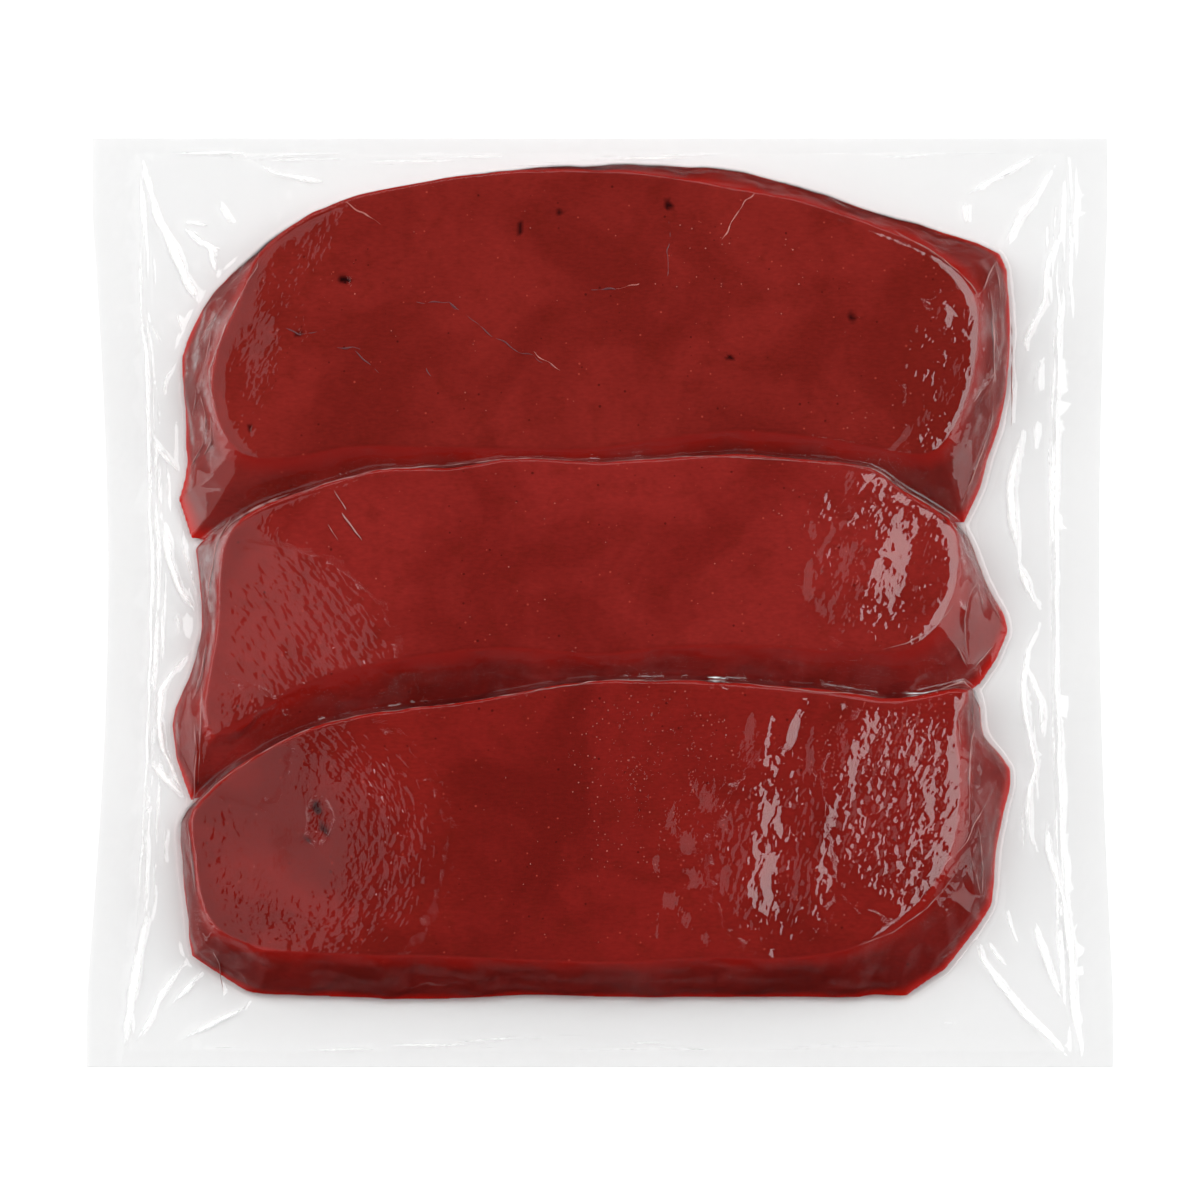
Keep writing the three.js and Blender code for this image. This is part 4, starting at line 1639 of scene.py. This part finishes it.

# Each row: route, widths of the left and right flank, height and the whiteness of the highlight painted
# on its crest.
FOLDS = (
    # top left corner
    Fold(((-118, 115), (-116.5, 110), (-114, 101.5), (-112.5, 98), (-108.5, 89)), 1, 1.4, 0.35, 0.8),
    Fold(((-112.5, 98), (-108.5, 89), (-105.5, 82.5), (-102.5, 76)), 1.8, 2.2, 0.5, 0.95),
    Fold(((-107, 97.5), (-102, 93), (-96.5, 90.5)), 1.3, 1.6, 0.3, 0.8),
    Fold(((-107, 98.5), (-99.5, 97.5)), 1, 1.4, 0.25, 0.7),
    Fold(((-98, 103.5), (-94, 97)), 1.8, 2, 0.25, 0.6),
    Fold(((-100, 93), (-98, 84)), 1.2, 1.4, 0.25, 0.8),
    Fold(((-116, 116.5), (-102, 116), (-92, 116.5), (-88, 114), (-85.5, 113.5)), 0.9, 1.2, 0.25, 0.7),
    Fold(((-88, 114), (-84, 111.5), (-80.5, 110.5), (-69, 108)), 1, 1.3, 0.3, 0.85),
    Fold(((-115, 72.5), (-112, 66)), 0.9, 1, 0.2, 0.6),
    Fold(((-112, 51.5), (-111.5, 57), (-108.5, 62)), 1, 1.2, 0.25, 0.6),
    Fold(((-108.5, 75), (-106.5, 69.5)), 1, 1, 0.2, 0.6),
    # left margin
    Fold(((-114.5, 41.5), (-112.5, 38.5), (-106.5, 32)), 1.3, 2, 0.35, 0.7),
    Fold(((-111.5, 20.5), (-110, 10.5), (-107, 2.5), (-102.5, -4)), 1.4, 2.2, 0.5, 0.95),
    Fold(((-107, 20.5), (-106, 13), (-103, 2.5), (-101, -1.5)), 1, 1.2, 0.3, 0.6),
    Fold(((-107.5, -1.5), (-107.5, -10.5)), 3.4, 3.4, 0.35, 0.55),
    Fold(((-102, -11.5), (-108.5, -18), (-111.5, -23.5), (-112, -31), (-111, -39), (-107.5, -46.5),
          (-104.5, -52)), 1, 1.6, 0.45, 0.9),
    Fold(((-115.5, -41.5), (-111, -45.5), (-104.5, -52)), 1.6, 2, 0.35, 0.8),
    Fold(((-116, -55.5), (-113.5, -53)), 0.9, 0.9, 0.2, 0.6),
    Fold(((-110.5, -57), (-110.5, -70)), 1.4, 1.4, 0.25, 0.55),
    # bottom left corner
    Fold(((-113.5, -76.5), (-116, -85.5), (-118.5, -101), (-120, -111.5), (-121, -118)),
         1.6, 2.2, 0.45, 0.9),
    Fold(((-104.5, -91.5), (-108.5, -97), (-111.5, -102), (-113.5, -107.5), (-119, -115)),
         1, 1.4, 0.35, 0.85),
    Fold(((-100, -94.5), (-104.5, -99.5), (-109.5, -105)), 0.9, 1.2, 0.3, 0.8),
    Fold(((-88.5, -102), (-90.5, -105), (-97, -108.5), (-107, -114)), 0.9, 1.4, 0.3, 0.85),
    # bottom right corner
    Fold(((95, -86.5), (97, -92.5), (102, -99.5), (108.5, -107.5), (113.5, -112.5), (118.5, -118)),
         1.2, 1.4, 0.45, 0.9),
    Fold(((98, -88), (103, -94.5)), 0.9, 0.9, 0.25, 0.7),
    Fold(((102.5, -79), (106, -88.5)), 1, 1, 0.25, 0.6),
    Fold(((109.5, -83), (112, -90.5), (114.5, -97), (118, -104)), 1.1, 1.3, 0.35, 0.85),
    Fold(((115, -83), (116.5, -90.5), (118, -103.5)), 0.9, 1.1, 0.3, 0.7),
    Fold(((114.5, -67.5), (118, -77.5), (119.5, -88), (120.5, -108.5), (122, -118)),
         1.3, 1.8, 0.45, 0.9),
    Fold(((85.5, -109), (90.5, -109)), 1.5, 1.5, 0.2, 0.6),
    # right margin
    Fold(((106.5, 9.5), (109, 2.5), (111.5, -2)), 1.2, 1.4, 0.4, 0.85),
    Fold(((111.5, -6), (108.5, -13), (107.5, -21), (108, -28.5), (109.5, -36.5), (110.5, -43),
          (109, -49), (108.5, -55.5), (109, -62), (111, -67.5)), 1.2, 1, 0.45, 0.85),
    Fold(((108.5, -18), (112, -26), (112.5, -36.5)), 1.2, 1.2, 0.3, 0.7),
    Fold(((115.5, 10.5), (116, -26), (117.5, -41.5), (118, -59.5)), 0.9, 0.9, 0.25, 0.6),
    Fold(((113.5, -55.5), (113.5, -64.5), (117.5, -77.5)), 1.8, 1.6, 0.35, 0.8),
    Fold(((107.5, 44), (105, 31), (105, 20.5), (106.5, 10.5)), 1.6, 2.6, 0.45, 0.85),
    Fold(((114.5, 46.5), (115, 20.5), (116, 10.5)), 0.9, 0.9, 0.25, 0.6),
    Fold(((112, 75), (108.5, 67), (109, 63.5)), 1, 1.2, 0.3, 0.7),
    Fold(((112, 64), (111, 51.5)), 2.6, 2.6, 0.25, 0.5),
    Fold(((111, 46.5), (111, 38.5)), 1.6, 1.6, 0.25, 0.55),
    Fold(((105.5, 69.5), (105.5, 49)), 0.7, 0.7, 0.2, 0.5),
    # top right corner
    Fold(((114.5, 116.5), (107, 113), (98, 108), (93, 104.5)), 1, 1.4, 0.35, 0.85),
    Fold(((93.5, 104), (93.5, 97)), 2.4, 2.4, 0.3, 0.7),
    Fold(((116, 112.5), (112, 106), (107, 98.5), (103, 91.5)), 1.2, 1.6, 0.4, 0.85),
    Fold(((118, 97), (114.5, 86.5), (113.5, 77.5), (109.5, 69.5)), 1, 1.3, 0.35, 0.75),
    Fold(((119.5, 116.5), (120.5, 103.5), (120, 69.5)), 0.9, 0.9, 0.25, 0.6),
    Fold(((121.5, 113.5), (121.5, 88)), 0.7, 0.7, 0.2, 0.5),
    # film drawn over the right ends of the slices: the first flank faces the light
    Fold(((75.5, 20), (70.5, 8), (66, -3), (64.5, -12)), 8.0, 18.0, 0.95),
    Fold(((51, 2.5), (58.5, 12.5), (65, 20.5), (71.5, 23.5)), 1.6, 8.0, 0.22),
    Fold(((64, 31), (68, 27)), 2.6, 8.0, 0.32),
    Fold(((86, 17), (89, 8), (88.5, 0), (84, -8), (76, -14)), 3.4, 9.0, 0.5),
    Fold(((41, -49), (39, -62), (36, -75), (41, -88)), 8.5, 20.0, 1.05),
    Fold(((50.5, -30), (44.5, -40), (39.5, -47)), 4.0, 10.0, 0.5),
    Fold(((68, -31), (62.5, -44), (58.5, -54)), 4.4, 10.0, 0.55),
    Fold(((58.5, -54), (56, -65), (54, -80.5), (51, -90)), 4.0, 10.0, 0.5),
    Fold(((86, -42), (87, -54), (85.5, -65), (79.5, -77)), 2.4, 6.0, 0.18),
    Fold(((77.5, -44.5), (81.5, -54.5), (77.5, -67.5)), 3.2, 9.0, 0.4),
    Fold(((95.5, 70), (95, 57), (91.5, 46.5), (87, 36)), 3.4, 10.0, 0.55),
    Fold(((86, 73), (90, 71)), 1.8, 6.0, 0.28),
    Fold(((74, 35), (79, 40), (86, 46)), 2.0, 7.0, 0.26),
    # painted glints where it is pinched in the gap between two slices
    Fold(((27, -21.6), (33, -21.9)), 0.5, 0.5, 0.1, 1.0),
    Fold(((75, -25.4), (82, -25.8), (88, -24.6)), 0.6, 0.6, 0.1, 0.9),
)

# Each row: centre, reach along X and Y, and strength.
CRINKLES = (
    Zone((0, 0), (1000, 1000), 0.1),
    Zone((78, -56), (22, 28), 1.1, size=1.9, stretch=1.5, lie=62),
    Zone((44, -68), (16, 26), 0.75, size=2.0, stretch=1.6, lie=72),
    Zone((18, -46), (24, 22), 0.45, size=1.1, stretch=1.5, lie=60),
    Zone((72, 8), (22, 26), 0.6, size=1.8, stretch=1.6, lie=62),
    Zone((90, 48), (13, 30), 0.5, size=1.6, lie=70),
    Zone((-76, -66), (36, 36), 0.85, size=1.5, stretch=1.6, pivot=(-80.5, -66.5), hollow=0.7),
    Zone((-71, -59), (3.4, 6.0), 1.3, size=1.0, stretch=1.3, lie=70),
    Zone((-77, -12), (20, 27), 0.85, 55, size=1.7, stretch=2.0, lie=128),
    Zone((-90, -40), (14, 18), 1.0, size=1.7, stretch=1.3),
)

# Each row: centre, reach along X and Y, and share of the full crowd.
BUBBLE_ZONES = (
    Zone((14, -50), (26, 26), 0.8),
    Zone((72, -42), (26, 16), 1.0),
    Zone((85, -58), (11, 24), 0.8),
    Zone((40, -82), (24, 12), 0.4),
    Zone((62, 14), (24, 22), 0.35),
    Zone((80, 42), (16, 12), 0.4),
    Zone((32, 80), (26, 20), 0.16),
)

# Each row, here and in the next three tables: route and thickness.
VEINS = (
    Thread(((-81.5, 68.5), (-76.5, 65.5), (-70, 67)), 0.56),
    Thread(((-48, 74), (-38, 74), (-35, 71.5)), 0.63),
    Thread(((-38, 73.5), (-29.5, 67), (-20.5, 61.5), (-10, 56.5)), 0.42),
    Thread(((-66.5, 62.5), (-61, 62)), 0.63),
    Thread(((-63.5, 62.5), (-55.5, 55.5)), 0.42),
    Thread(((-2, 77), (4, 77.5)), 0.7),
    Thread(((17.5, 97), (17.5, 77.5)), 0.24),
    Thread(((-47, 59.5), (-43, 55)), 0.42),
)

SCRATCHES = (
    Thread(((39.5, 103.5), (35.5, 98), (31, 90.5)), 0.49),
    Thread(((-65, 100.5), (-60, 97), (-56, 94.5)), 0.42),
    Thread(((4, 77.5), (10, 79)), 0.42),
    Thread(((-17, 61), (-10, 56.5)), 0.35),
)

# Tubes on the film's crests along the rims, whose pale colour is a painted highlight.
RIM_CREASES = (
    # rear rims of the middle and front slices
    Thread(((-96.5, 15.5), (-91, 20.5), (-80, 23.5), (-69.5, 27.5), (-56, 31), (-35.5, 33),
            (-18.5, 34), (0, 33.5)), 0.3),
    Thread(((0, 33), (22, 34.5), (44, 33.5), (63, 32)), 0.22),
    Thread(((63, 32), (69.5, 31.5), (74.5, 28.5), (81.5, 24), (88.5, 20.5), (92.5, 17.5)), 0.34),
    Thread(((-103.5, -55.5), (-97, -49.5), (-88.5, -43.5), (-78.5, -38), (-68, -33.5),
            (-56, -31), (-42.5, -30)), 0.3),
    Thread(((-42.5, -30), (-29, -28), (-12, -25.5), (0, -23.5), (10, -23), (30.5, -23)), 0.26),
    Thread(((30.5, -23), (42.5, -25), (56, -26.5), (74.5, -27)), 0.3),
    # rims of the right ends
    Thread(((75, 93), (84, 88), (87, 86), (90.5, 83), (94.5, 79.5), (96.5, 75.5)), 0.34),
    Thread(((90.5, -2), (88, -6.5), (83, -11), (77.5, -14), (71.5, -15.5)), 0.3),
    Thread(((92.5, -67.5), (89, -74), (83, -81.5), (74, -88), (63.5, -92)), 0.26),
    # painted glints on the middle slice's left end
    Thread(((-67.5, 25.5), (-65.5, 22), (-64.5, 20.5)), 0.4),
    Thread(((-65.5, 19.5), (-62, 14.5), (-60.5, 12.5)), 0.5),
    Thread(((-69, 16.5), (-66.5, 12.5)), 0.35),
    # rim of the back slice's left end
    Thread(((-87, 88), (-87.5, 83.5), (-91, 77.5), (-94.5, 70.5), (-97.5, 63), (-99.5, 56.5),
            (-99.5, 53), (-97.5, 45.5)), 0.4),
)

# Creases down the walls: raised as ridges in the film, and drawn as tubes whose pale colour is a
# painted highlight.
WALL_CREASES = (
    # walls of the back slice
    Thread(((101, 86.5), (99.5, 82.5), (98, 78.5)), 0.5),
    Thread(((101, 86), (102, 81.5), (102.5, 76)), 0.4),
    Thread(((99.5, 78.5), (100.5, 68.5), (100.5, 55.5), (98, 51)), 0.5),
    Thread(((105, 76), (105.5, 68.5), (105, 45)), 0.4),
    Thread(((95, 49), (99.5, 55), (101, 58.5)), 0.4),
    Thread(((92, 23), (95.5, 32), (100, 44.5), (100.5, 51.5)), 0.4),
    Thread(((-98.5, 71.5), (-100.5, 60), (-102.5, 54), (-104, 46.5)), 0.4),
    Thread(((-102, 51), (-100.5, 45.5), (-101, 39), (-104.5, 33.5)), 0.5),
    Thread(((-99, 45), (-99, 39), (-101, 36)), 0.35),
    Thread(((-95.5, 76), (-100.5, 68.5), (-103, 63.5)), 0.4),
    Thread(((-79, 25.5), (-87, 22.5), (-92.5, 19), (-95.5, 15.5)), 0.5),
    Thread(((-94, 20.5), (-97.5, 12.5), (-99, 4.5), (-100.5, -6.5)), 0.6),
    # walls of the middle slice
    Thread(((93, 19), (94.5, 12.5), (97, 7), (98.5, 0.5), (102, -6)), 0.4),
    Thread(((92.5, 17), (94, 11), (96, 7)), 0.35),
    Thread(((96, 3.5), (93.5, -2.5), (92.5, -7), (93.5, -17)), 0.4),
    Thread(((96, 3), (97.5, -4)), 0.35),
    Thread(((90.5, -13.5), (93.5, -18.5)), 0.35),
    Thread(((100, -12.5), (94.5, -19)), 0.35),
    Thread(((-100, -12), (-101.5, -21), (-103.5, -27)), 0.45),
    Thread(((-103, -33.5), (-102.5, -40.5), (-103, -48), (-103.5, -54)), 0.5),
    Thread(((-101, -24.5), (-101.5, -37.5), (-102, -48)), 0.35),
    # gap between the middle and front slices
    Thread(((84, -26), (87, -24.5), (89.5, -23), (92.5, -22), (94.5, -23.5), (95, -27.5)), 0.5),
    Thread(((27.5, -23), (32, -22.5)), 0.4),
    # walls of the front slice
    Thread(((94.5, -24), (95, -35), (94, -40), (93.5, -50.5), (93.5, -61)), 0.45),
    Thread(((90.5, -31), (91.5, -40)), 0.35),
    Thread(((100, -49.5), (97.5, -54.5), (93, -64), (90.5, -67.5)), 0.45),
    Thread(((93.5, -67), (96.5, -76.5)), 0.4),
    Thread(((96, -60), (97, -68.5), (97, -76.5)), 0.35),
    Thread(((-98, -92), (-96.5, -94.5), (-95.5, -101)), 0.4),
    Thread(((-104.5, -58.5), (-103.5, -68.5), (-102, -79)), 0.35),
)

VEIN_FINISH = PlainFinish(
    "blood_vessel_wall", light="6e3b40", dark="45151a", roughness=0.35, cloud_size=1.2)
SCRATCH_FINISH = PlainFinish(
    "torn_liver_skin", light="c98a80", dark="93352f", roughness=0.35, cloud_size=1.0)
# juice colour: the darker one is the juice, and the pale one partly paints the bubbles' glints
BUBBLE_FINISH = PlainFinish(
    "trapped_juice_with_painted_glint", light="c8675a", dark="8c2c24", roughness=0.08, cloud_size=2.0)
# pale colour painted on the crease tubes as their highlights
CREASE_GLINT_FINISH = PlainFinish(
    "film_crease_painted_glint", light="bb8d89", dark="7d3f3c", roughness=0.25, cloud_size=3.0)


def main() -> None:
    """Builds the pack and the studio, and reports each piece."""
    slices = []
    for liver in SLICES:
        slices.append(liver.build())
        LOG.info("%s: %d faces", slices[-1].name, len(slices[-1].data.polygons))
    low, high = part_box("pouch")
    pores = [pore for liver in SLICES for pore in liver.pores]
    drape = Drape(
        slices, pores, half_width=(high.x - low.x) / 2 / MM, half_depth=(high.y - low.y) / 2 / MM)
    ridges = tuple(Fold(crease.route, left=0.7, right=3.0, height=0.6) for crease in WALL_CREASES)
    film = Film(drape, FOLDS + ridges, CRINKLES)
    meat, crests = drape.meat, film.state(drape.x, drape.y).z
    details = (
        film,
        Threads("veins", drape, meat, VEINS, VEIN_FINISH, "liver_back", sink=0.05),
        Threads("scratches", drape, meat, SCRATCHES, SCRATCH_FINISH, "liver_back", sink=0.0),
        # crease tubes whose pale colour paints the highlights along the rims and walls
        Threads("creases", drape, crests, RIM_CREASES + WALL_CREASES, CREASE_GLINT_FINISH, "film",
                sink=0.0, stray=0.2),
        Bubbles(drape, BUBBLE_ZONES, BUBBLE_FINISH),
    )
    for detail in details:
        piece = detail.build()
        LOG.info("%s: %d faces", piece.name, len(piece.data.polygons))
    Studio().build()


if __name__ == "__main__":
    logging.basicConfig(level=logging.INFO)
    main()
